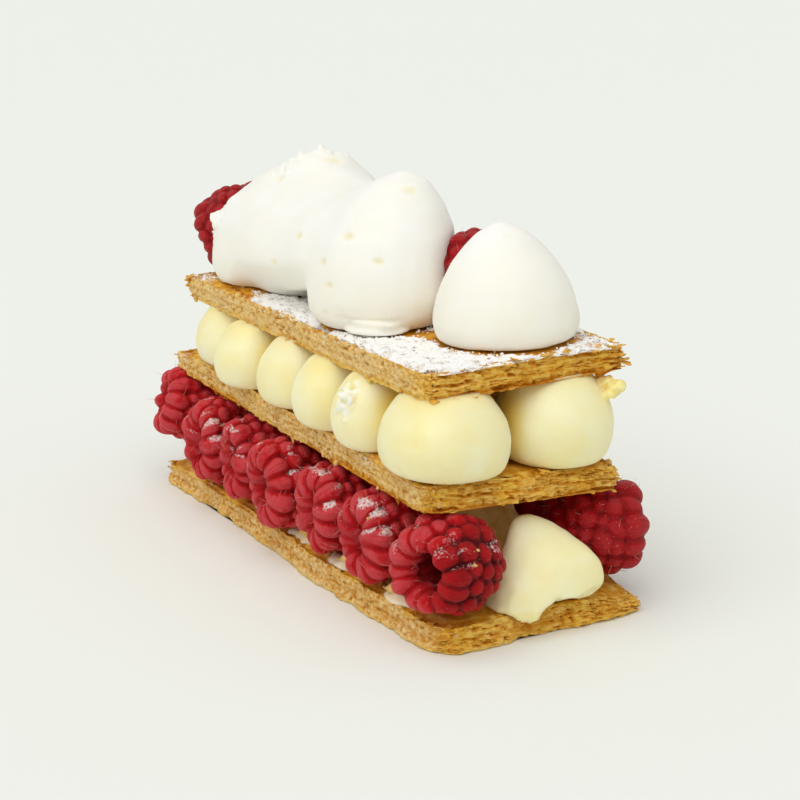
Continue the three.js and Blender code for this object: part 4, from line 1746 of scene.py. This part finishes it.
def rows_of_dollops() -> list[LemonDollop]:
    """Lists the lemon dollops with their sizes and places, as in the part's source.

    Returns:
        The front row and the back row.
    """
    front = (
        (-41, -12.6, 9.8, 10.4), (-22, -16.4, 8.8, 11), (-3.2, -15, 9.6, 11), (15, -16.2, 8.2, 11),
        (31.4, -16.4, 7.8, 11), (51.5, -15.6, 11.9, 11.9),
    )
    back = (
        (-40.6, 9, 9.6, 10.6), (-21.2, 8.4, 9.4, 12), (-2, 9.2, 9.4, 11.4), (16.4, 8.6, 8.6, 12),
        (32.8, 8.8, 7.4, 12), (51.8, 8.4, 11.2, 11.2),
    )
    return [
        LemonDollop(
            f"lemon_{row.value}_{n + 1}", x, y, (w, d), seed + n,
            neighbours=tuple(other for other in front + back if other != (x, y, w, d)),
            marks=LEMON_MARKS.get((row, n + 1), ()),
            scuffs=LEMON_SCUFFS.get((row, n + 1), ()),
            dab=LEMON_DABS.get((row, n + 1), ()),
            dab_tint=0.5 if row is Row.BACK else 0,
        )
        for row, table, seed in ((Row.FRONT, front, 401), (Row.BACK, back, 421))
        for n, (x, y, w, d) in enumerate(table)
    ]


@dataclass
class LemonSlump:
    """The lump of lemon cream that has slid out at the end, torn away on its left side."""

    node: str = "lemon_slump"
    height: float = 15.6
    side: tuple[float, float] = (0.503, 0.864)
    face: tuple[float, float] = (0.864, -0.503)
    undercut: float = 7.0
    # along its width, how high the torn left side lies over the sheet
    edge: tuple[tuple[float, float], ...] = (
        (18.0, 0.0), (30.6, 0.0), (31.6, 0.6), (33.0, 1.4), (34.6, 1.9), (36.4, 2.0), (37.6, 2.8), (39.0, 2.0),
        (40.2, 2.2), (41.4, 3.0), (43.0, 3.6),
    )
    # it reaches no further than this along the slice
    furthest: float = 67.2
    # for each share of the height, where its left, right, rear and front edges are
    levels: tuple[tuple[float, float, float, float, float], ...] = (
        (0.0, 20.4, 42.2, 46.0, 60.4),
        (0.1, 21.2, 43.2, 45.5, 60.0),
        (0.28, 22.0, 43.6, 45.5, 58.6),
        (0.48, 23.4, 42.4, 45.8, 56.4),
        (0.68, 24.6, 39.2, 46.0, 54.0),
        (0.85, 25.4, 34.8, 46.0, 51.6),
        (0.96, 26.0, 31.2, 46.4, 49.8),
        (1.0, 27.4, 29.4, 47.4, 48.6),
    )
    floor_share: float = 0.2
    clearance: float = 0.25
    overhang: tuple[float, float] = (63.0, 65.2)
    torn: tuple[Spot, ...] = ((47.5, -16.5, 12.0, 8.0, 1.0), (44.0, -12.0, 16.0, 6.0, 1.0))
    seed: int = 531

    def shaped(self, ball: Points) -> Points:
        """Turns a ball into the lump.

        Args:
            ball: the ball's vertices.

        Returns:
            The lump's vertices in place.
        """
        around, ring = round_and_up(ball)
        # the first part of the rings spans the flat foot, and the others climb from it
        wide = np.clip(ring / self.floor_share, 0, 1)
        share = np.clip((ring - self.floor_share) / (1 - self.floor_share), 0, 1)
        share = np.sin(share * math.pi / 2) ** 1.15
        table = np.array(self.levels)
        spread = np.linspace(0, 1, 160)
        edges = eased(np.stack([np.interp(spread, table[:, 0], table[:, n]) for n in (1, 2, 3, 4)]), 60)
        left, right, back, front = (np.interp(share, spread, edge) for edge in edges)
        c, s = np.cos(around), np.sin(around)
        across = (left + right) / 2 + (right - left) / 2 * c * wide
        forward = (back + front) / 2 + (front - back) / 2 * s * wide
        rise = np.interp(across, *np.array(self.edge).T)
        rise *= 1 + 0.3 * uneven(np.stack([across, 0 * across, 0 * across], axis=1), 1.6, self.seed, 2)
        rise += 1e-6
        missing = (1 - step(0.8, 1.1, self.height * share / rise)) * step(0.2, 0.8, rise) * step(-0.6, 0.0, s)
        # no point is pushed back past the rear, and where the lump is too thin for that it is lifted
        thickness = (front - back) * np.abs(s) * wide
        pushed = np.minimum(self.undercut * wide, 0.85 * thickness)
        forward -= pushed * missing
        lifted = missing * (1 - np.clip(thickness / self.undercut, 0, 1)) * step(0.5, 1.0, wide)
        x = self.side[0] * across + self.face[0] * forward
        y = self.side[1] * across + self.face[1] * forward
        flat = np.stack([x, y, np.zeros(len(x))], axis=1)
        ragged = 0.6 * uneven(flat, 1.8, self.seed, 2) * wide * (1 - step(0.0, 0.2, share))
        x, y = x + self.face[0] * ragged, y + self.face[1] * ragged
        x = self.furthest - 2.2 * np.logaddexp(0, (self.furthest - x) / 2.2)
        z = BOTTOM_FACE + self.clearance + self.height * share
        z += np.maximum(rise - self.height * share, 0) * lifted
        hung = 1.5 * step(*self.overhang, x) * (1 - step(0.0, 0.1, share))
        z -= hung * (0.6 + 0.6 * uneven(flat, 3.0, self.seed + 1))
        return np.stack([x, y, z], axis=1)

    def build(self, finishes: Finishes) -> Piece:
        """Models and dresses the lump.

        Args:
            finishes: the slice's materials.

        Returns:
            The lump.
        """
        lump, ball = new_ball("lemon_cream_slump", 96, 72)
        write_points(lump, self.shaped(ball))
        remesh(lump, 0.38)
        relax(lump, 7)
        points, normals = read_points(lump), read_normals(lump)
        points += normals * 0.2
        torn = near(points, self.torn)
        waves = 0.22 * uneven(points, 7.0, self.seed + 2) + 0.08 * uneven(points, 1.8, self.seed + 3)
        points += normals * waves[:, None]
        points += normals * (0.5 * torn * uneven(points, 1.1, self.seed + 4, 2))[:, None]
        write_points(lump, points)
        base = BOTTOM_FACE + self.clearance
        # painted shade along the foot, where the lump meets the sheet
        write_mask(lump, "shade_and_marks", 0.25 * (1 - step(base, base + 0.8, points[:, 2])))
        return hand_in(lump, finishes.lemon, [self.node])


@dataclass(frozen=True)
class Saddle:
    """Cream that fills a row of lumps out to their hull, sags between them and hangs clear of the sheet."""

    start: tuple[float, float]
    end: tuple[float, float]
    sag: float = 4.4
    narrow: float = 0.03
    crown: float = 62.0
    rise: float = 19.0
    tuck: float = 10.0
    inward: tuple[float, float, float] = (-0.836, 0.486, -0.255)
    first: float = 0.26
    drawn_in: float = 0.14
    shares: tuple[float, ...] = (0.0, 0.12, 0.25, 0.47, 0.66, 0.87)
    under: tuple[float, ...] = (52.0, 52.4, 54.4, 55.6, 57.2, 58.8)

    def build(self, nodes: Sequence[str]) -> Piece:
        """Models the saddle from the hull of the lumps.

        Args:
            nodes: the solids that it joins.

        Returns:
            The saddle, ready to be joined.
        """
        saddle = join([copy_of_node(node, "saddle") for node in nodes])
        edit_all()
        bpy.ops.mesh.convex_hull()
        bpy.ops.object.mode_set(mode="OBJECT")
        remesh(saddle, 1.0)
        relax(saddle, 4)
        points = read_points(saddle)
        run = np.subtract(self.end, self.start)
        side = np.array([-run[1], run[0]]) / np.hypot(*run)
        along = ((points[:, :2] - self.start) @ run) / (run @ run)
        across = (points[:, :2] - self.start) @ side
        between = np.clip((along - self.first) / (1 - self.first), 0, 1)
        dip = 4 * between * (1 - between)
        height = points[:, 2] - self.crown
        height -= self.sag * dip * (np.maximum(height, 0) / self.rise) ** 2.2
        # before the first lump's middle it is drawn in
        shrink = 1 - self.drawn_in * (1 - step(-0.15, 0.05, along))
        across *= (1 - self.narrow * dip) * shrink
        low = np.interp(along, self.shares, self.under)
        points[:, :2] = self.start + along[:, None] * run + across[:, None] * side
        points[:, 2] = np.maximum(self.crown + height * shrink, low)
        tucked = self.tuck * (1 - step(0.0, 5.0, points[:, 2] - low)) * (1 - step(-6.0, 0.0, across))
        tucked *= step(0.05, 0.3, along) * (1 - step(0.75, 0.95, along))
        points += tucked[:, None] * np.array(self.inward)
        points[:, 2] = np.maximum(points[:, 2], self.under[0])
        write_points(saddle, points)
        return saddle


@dataclass
class SoftMass:
    """A free lump of cream, softened from its solids."""

    nodes: tuple[str, ...]
    name: str
    slot: str
    voxel: float
    settle: int
    swell: float = 0.0
    # the waves of its skin, each with a length and a height
    waves: tuple[tuple[float, float], ...] = ((6.0, 0.25),)
    seed: int = 0
    creases: int = 0
    fillers: tuple[Saddle, ...] = ()
    flaps: tuple[Lobe, ...] = ()
    pits: tuple[Spot, ...] = ()
    peaks: tuple[Spot, ...] = ()
    torn: tuple[Spot, ...] = ()
    folds: tuple[Spot, ...] = ()
    pit_depth: float = 0.4
    tear_height: float = 0.45
    fold_depth: float = 0.7
    # how much the foot is painted warmer and darker, as painted shade
    shade: float = 0.22

    def joined(self) -> Piece:
        """Copies the solids, adds the lobes between them and closes them over as one.

        Returns:
            The lump before it is shaped.
        """
        parts = [copy_of_node(node, self.name) for node in self.nodes]
        lump = join(parts + [filler.build(self.nodes) for filler in self.fillers])
        remesh(lump, self.voxel * (1))
        relax(lump, self.settle)
        close_creases(lump, self.creases)
        if self.flaps:
            join([lump, *(lobe.build() for lobe in self.flaps)])
            remesh(lump, self.voxel * (0.84))
            relax(lump, 4)
        return lump

    def pitted(self, points: Points) -> Points:
        """Marks the shallow pits, which lie along the cream and are wider than high.

        Args:
            points: the lump's vertices.

        Returns:
            The strongest pit at each vertex.
        """
        mark = np.zeros(len(points))
        for x, y, z, reach, strength in self.pits:
            spot = points[np.linalg.norm(points - (x, y, z), axis=1).argmin()]
            away = np.linalg.norm((points - spot) * (1, 1, 1.9), axis=1)
            mark = np.maximum(mark, strength * (1 - step(0.0, 1.5 * reach, away)))
        return mark

    def build(self, finishes: Finishes) -> Piece:
        """Models and dresses the lump.

        Args:
            finishes: the slice's materials.

        Returns:
            The lump.
        """
        lump = self.joined()
        points, normals = read_points(lump), read_normals(lump)
        base = points[:, 2].min()
        free = step(base + 0.4, base + 4.0, points[:, 2])
        out = self.swell * free
        for size, height in self.waves:
            out = out + height * uneven(points, size, self.seed) * free
        pitted = self.pitted(points)
        out = out - self.pit_depth * pitted
        out = out + self.tear_height * near(points, self.torn) * uneven(points, 1.3, self.seed + 5, 2)
        folded = step(0.35, 0.8, uneven(points, (7.0, 7.0, 1.0), self.seed + 6))
        out = out - self.fold_depth * near(points, self.folds) * folded
        points = points + normals * out[:, None]
        for x, y, z, reach, height in self.peaks:
            away = np.linalg.norm(points - (x, y, z), axis=1)
            near_by = away < max(reach, away.min() + 0.5)
            pull = normals[near_by].mean(axis=0)
            nearest = points[away.argmin()]
            away = np.linalg.norm(points - nearest, axis=1)
            points += pull * (height * (1 - step(0, reach, away)) ** 1.4)[:, None]
        write_points(lump, points)
        # painted shade in the pits
        write_mask(lump, "shade_and_marks", 0.75 * pitted)
        # painted shade: warmer and darker towards the foot
        write_mask(lump, "low", self.shade * (1 - step(base + 1.0, base + 19.0, points[:, 2])))
        material = {"whipped_cream": finishes.whipped, "core_cream": finishes.core}[self.slot]
        return hand_in(lump, material, self.nodes)


SOFT_MASSES = (
    SoftMass(
        ("whipped_left", "whipped_middle"), "whipped_cream_twin", "whipped_cream", 0.5, 12, 0.25,
        ((11.0, 0.35), (4.5, 0.1)), 501, creases=480,
        fillers=(Saddle((-38.0, -4.6), (15.2, -7.0)),),
        flaps=(
            Lobe((23.4, -13.6, 52.6), (6.6, 6.2, 1.1), 0.9, 0.877),
            Lobe((23.2, -13.4, 54.2), (5.8, 5.2, 0.7), 0.7, 0.877),
            Lobe((22.8, -13.2, 55.6), (5.0, 4.6, 0.6), 0.6, 0.877),
            Lobe((-44.2, -14.8, 64.2), (2.8, 2.4, 2.2), 2.0, 0.6),
            Lobe((-44.6, -15.0, 61.0), (2.2, 2.0, 1.8), 1.6, 0.6),
        ),
        pits=(
            (-0.8, -18.4, 67.7, 1.5, 1.0), (19.3, -17.7, 70.5, 1.6, 1.0), (-9.2, -20.0, 61.3, 1.3, 1.0),
            (14.2, -20.5, 65.1, 1.4, 1.0), (25.9, -14.7, 66.4, 1.2, 1.0), (18.2, -21.4, 61.1, 1.2, 0.9),
            (-18.3, -0.5, 79.9, 1.9, 0.7), (-25.5, -9.9, 76.0, 1.7, 0.7), (22.3, -5.5, 78.8, 1.6, 0.7),
            (17.0, -21.4, 55.7, 0.8, 0.6), (-44.0, -15.0, 60.0, 1.0, 0.8),
        ),
        peaks=(
            (-26.6, -4.8, 80.6, 1.3, 1.5), (-24.2, -0.8, 82.1, 1.3, 1.2), (-28.3, -7.6, 78.2, 1.1, 1.0),
            (-21.5, 3.9, 79.9, 1.0, 0.7), (-29.4, -9.8, 76.6, 0.9, 0.7), (-46.2, -16.3, 65.0, 1.2, 0.8),
            (-45.8, -16.6, 61.8, 1.2, 0.7),
        ),
        torn=((-27.0, -6.0, 79.5, 6.5, 1.4), (-44.8, -15.5, 63.5, 6.0, 1.6), (-23.0, 0.5, 81.0, 5.0, 1.0)),
        folds=((22.0, -16.5, 52.5, 6.5, 1.0), (29.0, -13.0, 53.5, 4.0, 0.8)),
    ),
    SoftMass(
        ("whipped_right",), "whipped_cream_right", "whipped_cream", 0.5, 26, 0.35,
        ((11.0, 0.25), (5.0, 0.08)), 521, pits=((46.5, 1.2, 72.5, 1.3, 0.3),),
    ),
    SoftMass(("cream_core",), "cream_core_ridge", "core_cream", 0.6, 5, 0.0, ((4.0, 0.5), (1.3, 0.3)), 541),
)


# ---------------------------------------------------------------- sugar, hairs and crumbs


@dataclass
class SugarFall:
    """Icing sugar on the top sheet, clotted so that a little crust shows through."""

    sheet: PastrySheet
    fineness: float = 0.36
    thinnest: float = 0.47
    clot: tuple[float, float] = (1.2, 1.0)
    grit: float = 0.55
    thickness: float = 0.3
    grains: int = 2600
    seed: int = 601

    def build(self, finishes: Finishes) -> Piece:
        """Models the lying sugar.

        Args:
            finishes: the slice's materials.

        Returns:
            The layer.
        """
        deselect_all()
        fineness = self.fineness * 1
        many_x, many_y = int(self.sheet.length / fineness), int(self.sheet.width / fineness)
        bpy.ops.mesh.primitive_grid_add(x_subdivisions=many_x, y_subdivisions=many_y, size=MM)
        plain, faces = taken_out(bpy.context.active_object)
        plain = plain * (self.sheet.length - 1, self.sheet.width - 1, 0)
        points = self.sheet.top_at(plain[:, 0], plain[:, 1])
        cover = self.sheet.sugar_at(points) * step(-0.4, 0.9, self.sheet.to_edge(plain[:, 0], plain[:, 1]))
        flat = points * (1, 1, 0)
        clots = 0.5 + 0.5 * uneven(flat, (*self.clot, 1), self.seed, 2)
        grit = 0.5 + 0.5 * uneven(flat, self.grit, self.seed + 1)
        amount = cover + 1.5 * (clots - 0.55) + 0.3 * (grit - 0.5)
        points[:, 2] += 0.05 + 0.42 * step(0.45, 1.25, amount) + 0.16 * (clots - 0.5) + 0.1 * (grit - 0.5)
        kept = amount[faces].min(axis=1) > self.thinnest
        used = np.unique(faces[kept])
        number = np.zeros(len(points), int)
        number[used] = np.arange(len(used))
        layer = piece_from("icing_sugar_layer", points[used], number[faces[kept]].tolist())
        thicken(layer, self.thickness, -1)
        return hand_in(layer, finishes.sugar)

    def grained(self, finishes: Finishes, grain: Shape) -> Piece:
        """Scatters loose grains and clots over the sheet.

        Args:
            finishes: the slice's materials.
            grain: the ball that they are copied from.

        Returns:
            The grains as one piece.
        """
        rng = np.random.default_rng(self.seed)
        x = rng.uniform(-0.49, 0.49, self.grains * 4) * self.sheet.length
        y = rng.uniform(-0.48, 0.48, self.grains * 4) * self.sheet.width
        points = self.sheet.top_at(x, y)
        cover = self.sheet.sugar_at(points)
        kept = (rng.uniform(0, 1, len(x)) < 0.06 + 0.9 * cover)[:, None].repeat(3, 1)
        chosen = points[kept].reshape(-1, 3)[: self.grains]
        sizes = np.clip(rng.lognormal(-1.75, 0.35, len(chosen)), 0.1, 0.36)
        places = [
            placed(spot + (0, 0, 0.25 + 0.3 * size), tumbled(rng), size * rng.uniform(0.7, 1.2, 3))
            for spot, size in zip(chosen, sizes)
        ]
        return hand_in(repeated("icing_sugar_grains", grain, places), finishes.sugar)


@dataclass
class PastryBits:
    """The crumbs and flakes that the cut left on the sheets' sides."""

    crumbs: int = 1100
    biggest_crumb: float = 0.75
    flakes: int = 420
    flake_sizes: tuple[float, float] = (0.6, 1.5)
    flake_thickness: float = 0.12
    seed: int = 801

    def crumb(self) -> Shape:
        """Models one crumb: a small lumpy ball.

        Returns:
            Its vertices and its triangles.
        """
        points, faces = small_ball(1)
        return points * (1 + 0.35 * uneven(points, 0.8, self.seed))[:, None], faces

    def flake(self) -> Shape:
        """Models one flake: a thin torn leaf, curled a little.

        Returns:
            Its vertices and its triangles.
        """
        deselect_all()
        bpy.ops.mesh.primitive_grid_add(x_subdivisions=4, y_subdivisions=4, size=2 * MM)
        leaf = bpy.context.active_object
        points = read_points(leaf)
        around = np.arctan2(points[:, 1], points[:, 0])
        rim = np.abs(points[:, :2]).max(axis=1) > 0.99
        round_off = 1 - rim * (0.24 + 0.2 * np.sin(3 * around + 1) * np.cos(5 * around))
        points[:, :2] *= round_off[:, None]
        points[:, 2] = 0.12 * points[:, 0] ** 2 + 0.06 * np.sin(4 * points[:, 1])
        write_points(leaf, points)
        thicken(leaf, self.flake_thickness, 0)
        leaf.modifiers.new("facets", "TRIANGULATE").quad_method = "FIXED"
        apply_modifiers(leaf)
        return taken_out(leaf)

    def spread(
        self, sheets: Sequence[Piece], edge: Edge, many: int, rng: np.random.Generator
    ) -> tuple[Points, Points]:
        """Picks places on the sheets' long sides or on their ends.

        Args:
            sheets: the pastry sheets.
            edge: which of the two.
            many: how many places on each sheet.
            rng: picks them.

        Returns:
            Places and the directions that the sheets face there.
        """
        axis = edge.value
        facing, beyond = (0.45, 52) if edge is Edge.ENDS else (0.35, 17)
        spots = []
        for sheet in sheets:
            points, normals = read_points(sheet), read_normals(sheet)
            likely = (np.abs(normals[:, axis]) > facing) & (np.abs(points[:, axis]) > beyond)
            likely = likely * (1.0 if edge is Edge.ENDS else 0.25 + step(0.1, 0.5, np.abs(normals[:, 2])))
            chosen = rng.choice(len(points), many, p=likely / likely.sum())
            spots.append((points[chosen], normals[chosen]))
        return tuple(np.concatenate(part) for part in zip(*spots))

    def build(self, finishes: Finishes, sheets: Sequence[Piece]) -> None:
        """Spreads crumbs on the long sides and flakes on the ends.

        Args:
            finishes: the slice's materials.
            sheets: the pastry sheets.
        """
        rng = np.random.default_rng(self.seed)
        places = []
        for spot, out in zip(*self.spread(sheets, Edge.LONG_SIDES, self.crumbs, rng)):
            size = min(self.biggest_crumb, rng.lognormal(-1.3, 0.42))
            spot[2] = max(spot[2], 0.8 * size)
            places.append(placed(spot - out * 0.25 * size, tumbled(rng), size * rng.uniform(0.7, 1.15, 3)))
        self.handed(repeated("puff_pastry_crumbs", self.crumb(), places), finishes, depth=0.1, gold=0.2)
        places = []
        for spot, out in zip(*self.spread(sheets, Edge.ENDS, self.flakes, rng)):
            size = rng.uniform(*self.flake_sizes)
            spot[2] = max(spot[2], 0.7 * size)
            up = standing_on(np.array([0, 0, 1]) + rng.normal(0, 0.16, 3), rng)
            places.append(placed(spot - out * 0.5 * size, up, (size, size * rng.uniform(0.5, 1), size)))
        self.handed(repeated("puff_pastry_flakes", self.flake(), places), finishes, depth=0.16, gold=0.8)

    def handed(self, bits: Piece, finishes: Finishes, depth: float, gold: float) -> None:
        """Dresses the joined bits.

        Args:
            bits: the bits.
            finishes: the slice's materials.
            depth: how deep in the crust they look to come from.
            gold: how golden they are.
        """
        for name, value in (("depth", depth), ("gold", gold), ("dust", 0)):
            write_mask(bits, name, value)
        hand_in(bits, finishes.pastry)


@dataclass
class CreamSmears:
    """Thin smears of core cream that the berries pressed out over the bottom sheet."""

    spots: tuple[tuple[float, float, float, float], ...] = (
        (5.3, -19.6, 7.0, 2.9), (22.8, -20.6, 6.5, 2.7), (46.0, -21.0, 6.0, 2.4), (-14.0, -19.0, 6.0, 2.0),
        (24.0, 20.0, 6.0, 2.4), (-12.0, 20.2, 7.0, 2.2),
    )
    depth: float = 0.2
    height: float = 1.3
    seed: int = 651

    def build(self, finishes: Finishes) -> Piece:
        """Models and dresses the smears as one piece.

        Args:
            finishes: the slice's materials.

        Returns:
            The smears.
        """
        low = BOTTOM_FACE - self.depth
        lobes = [Lobe((x, y, low), (long, wide, self.height), 0.3) for x, y, long, wide in self.spots]
        smears = join([lobe.build() for lobe in lobes])
        smears.name = smears.data.name = "core_cream_smears"
        points = read_points(smears)
        flat = points * (1, 1, 0)
        points[:, :2] += 0.8 * np.stack([uneven(flat, 2.4, self.seed + n, 2) for n in range(2)], axis=1)
        points[:, 2] += 0.3 * uneven(flat, 1.7, self.seed + 2, 2) * (points[:, 2] > BOTTOM_FACE)
        write_points(smears, points)
        return hand_in(smears, finishes.smear)


@dataclass
class Seeds:
    """A few pale seeds that show on the open berry at the corner."""

    spots: tuple[tuple[float, float, float], ...] = (
        (66.2, -17.1, 20.4), (67.5, -18.5, 18.2), (41.4, -26.1, 20.9),
    )
    size: tuple[float, float, float] = (0.5, 0.3, 0.26)
    seed: int = 671

    def build(self, finishes: Finishes, berries: Sequence[Piece]) -> Piece:
        """Sets each seed on the nearest berry.

        Args:
            finishes: the slice's materials.
            berries: the berries.

        Returns:
            The seeds as one piece.
        """
        rng = np.random.default_rng(self.seed)
        spots = np.concatenate([read_points(berry) for berry in berries])
        normals = np.concatenate([read_normals(berry) for berry in berries])
        places = []
        for spot in self.spots:
            n = np.linalg.norm(spots - spot, axis=1).argmin()
            turn = standing_on(normals[n] + rng.normal(0, 0.2, 3), rng)
            places.append(placed(spots[n] + 0.1 * normals[n], turn, self.size))
        return hand_in(repeated("raspberry_seeds", small_ball(2), places), finishes.seed)


@dataclass
class DriedStyles:
    """The fine hairs that stand on a raspberry's drupelets."""

    each: int = 60
    foot: float = 0.034
    tip: float = 0.012
    bend: float = 0.22
    crest: float = 0.3
    seed: int = 701

    def hair(self) -> Shape:
        """Models one hair, a millimetre long, curved and tapered.

        Returns:
            Its vertices and its triangles.
        """
        deselect_all()
        bpy.ops.mesh.primitive_cone_add(vertices=4, radius1=self.foot * MM, radius2=self.tip * MM, depth=MM)
        hair = bpy.context.active_object
        edit_all()
        for height in (-0.2, 0.15):
            bpy.ops.mesh.bisect(plane_co=(0, 0, height * MM), plane_no=(0, 0, 1))
            bpy.ops.mesh.select_all(action="SELECT")
        bpy.ops.mesh.quads_convert_to_tris()
        bpy.ops.object.mode_set(mode="OBJECT")
        points, faces = taken_out(hair)
        points[:, 2] += 0.5
        points[:, 0] += self.bend * points[:, 2] ** 2
        return points, faces

    def build(self, finishes: Finishes, berries: Sequence[Piece]) -> Piece:
        """Copies the hair over the berries.

        Args:
            finishes: the slice's materials.
            berries: the berries that have hairs.

        Returns:
            The hairs as one piece.
        """
        rng = np.random.default_rng(self.seed)
        hair = self.hair()
        places = []
        for berry in berries:
            spots, normals = read_points(berry), read_normals(berry)
            crests = np.flatnonzero(read_mask(berry, "depth") < self.crest)
            for n in rng.choice(crests, self.each):
                size = rng.uniform(0.9, 2.3)
                up = standing_on(normals[n] + rng.normal(0, 0.45, 3), rng)
                places.append(placed(spots[n] - 0.1 * normals[n], up, (size**0.3, size**0.3, size)))
        return hand_in(repeated("raspberry_styles", hair, places), finishes.hair)


# ---------------------------------------------------------------- studio


@dataclass(frozen=True)
class Lamp:
    """A lamp as far off as the sun: its strength, how wide it looks in degrees and which way it hangs."""

    name: str
    energy: float
    width: float
    side: tuple[float, float, float]
    colour: str = "ffffff"
    glints_only: bool = False

    def build(self) -> None:
        """Hangs the lamp."""
        light = bpy.data.lights.new(self.name, "SUN")
        light.energy, light.angle = self.energy, math.radians(self.width)
        light.color = linear(self.colour)[:3]
        hung = linked(self.name, light)
        hung.rotation_euler = Vector(self.side).to_track_quat("Z", "Y").to_euler()
        hung.visible_diffuse = not self.glints_only


@dataclass
class Studio:
    """A pale floor, soft lights and the camera, which stands where the photographer's did."""

    paper: str = "f2f5f1"
    room: float = 24.0
    heaven: str = "f4f6f4"
    sky: float = 0.58
    # one wide soft light to the left of the camera, and a glint on what is wet, as of a window
    lamps: tuple[Lamp, ...] = (
        Lamp("wide_softbox", 1.6, 75, (0.3, -0.46, 1), "fffcf7"),
        Lamp("small_highlight", 1.4, 7, (0.55, -0.75, 0.9), glints_only=True),
    )
    lens: float = 80.46
    eye: tuple[float, float, float] = (321.06, -181.35, 128.14)
    pitch: float = -14.77
    heading: float = 59.84

    def floor(self) -> None:
        """Lays a wide pale floor just under the slice."""
        deselect_all()
        bpy.ops.mesh.primitive_grid_add(x_subdivisions=8, y_subdivisions=8, size=self.room)
        floor = bpy.context.active_object
        floor.name = "studio_floor"
        floor.data.transform(Matrix.Translation((0, 0, -0.2 * MM)))
        paper = PlainGrain("studio_paper", roughness=0.9, light=self.paper, dark=self.paper, size=400)
        floor.data.materials.append(paper.made())

    def camera(self) -> None:
        """Sets the camera up."""
        camera = bpy.data.cameras.new("camera")
        camera.lens, camera.sensor_width = self.lens, 36
        camera.clip_start, camera.clip_end = 0.01, 60
        seen = linked("camera", camera)
        seen.location = Vector(self.eye) * MM
        seen.rotation_euler = (math.radians(90 + self.pitch), 0, math.radians(self.heading))
        bpy.context.scene.camera = seen

    def build(self) -> None:
        """Sets up the studio."""
        scene = bpy.context.scene
        scene.view_settings.view_transform = "Standard"
        world = bpy.data.worlds.new("soft_sky")
        world.use_nodes = True
        world.node_tree.nodes["Background"].inputs["Color"].default_value = linear(self.heaven)
        world.node_tree.nodes["Background"].inputs["Strength"].default_value = self.sky
        scene.world = world
        self.floor()
        for lamp in self.lamps:
            lamp.build()
        self.camera()


def main() -> None:
    """Builds the slice piece by piece."""
    logging.basicConfig(level=logging.INFO, format="%(message)s")
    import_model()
    Studio().build()
    finishes = made_finishes()
    sheets = [sheet.build(finishes) for sheet in (BOTTOM, MIDDLE, TOP)]
    PastryBits().build(finishes, sheets)
    drupelet = small_ball(3)
    berries = [berry.build(finishes, drupelet) for berry in row_of_berries()]
    DriedStyles().build(finishes, berries)
    Seeds().build(finishes, berries)
    CreamSmears().build(finishes)
    for dollop in rows_of_dollops():
        dollop.build(finishes)
    LemonSlump().build(finishes)
    for mass in SOFT_MASSES:
        mass.build(finishes)
    sugar = SugarFall(TOP)
    sugar.build(finishes)
    sugar.grained(finishes, small_ball(1))


if __name__ == "__main__":
    main()
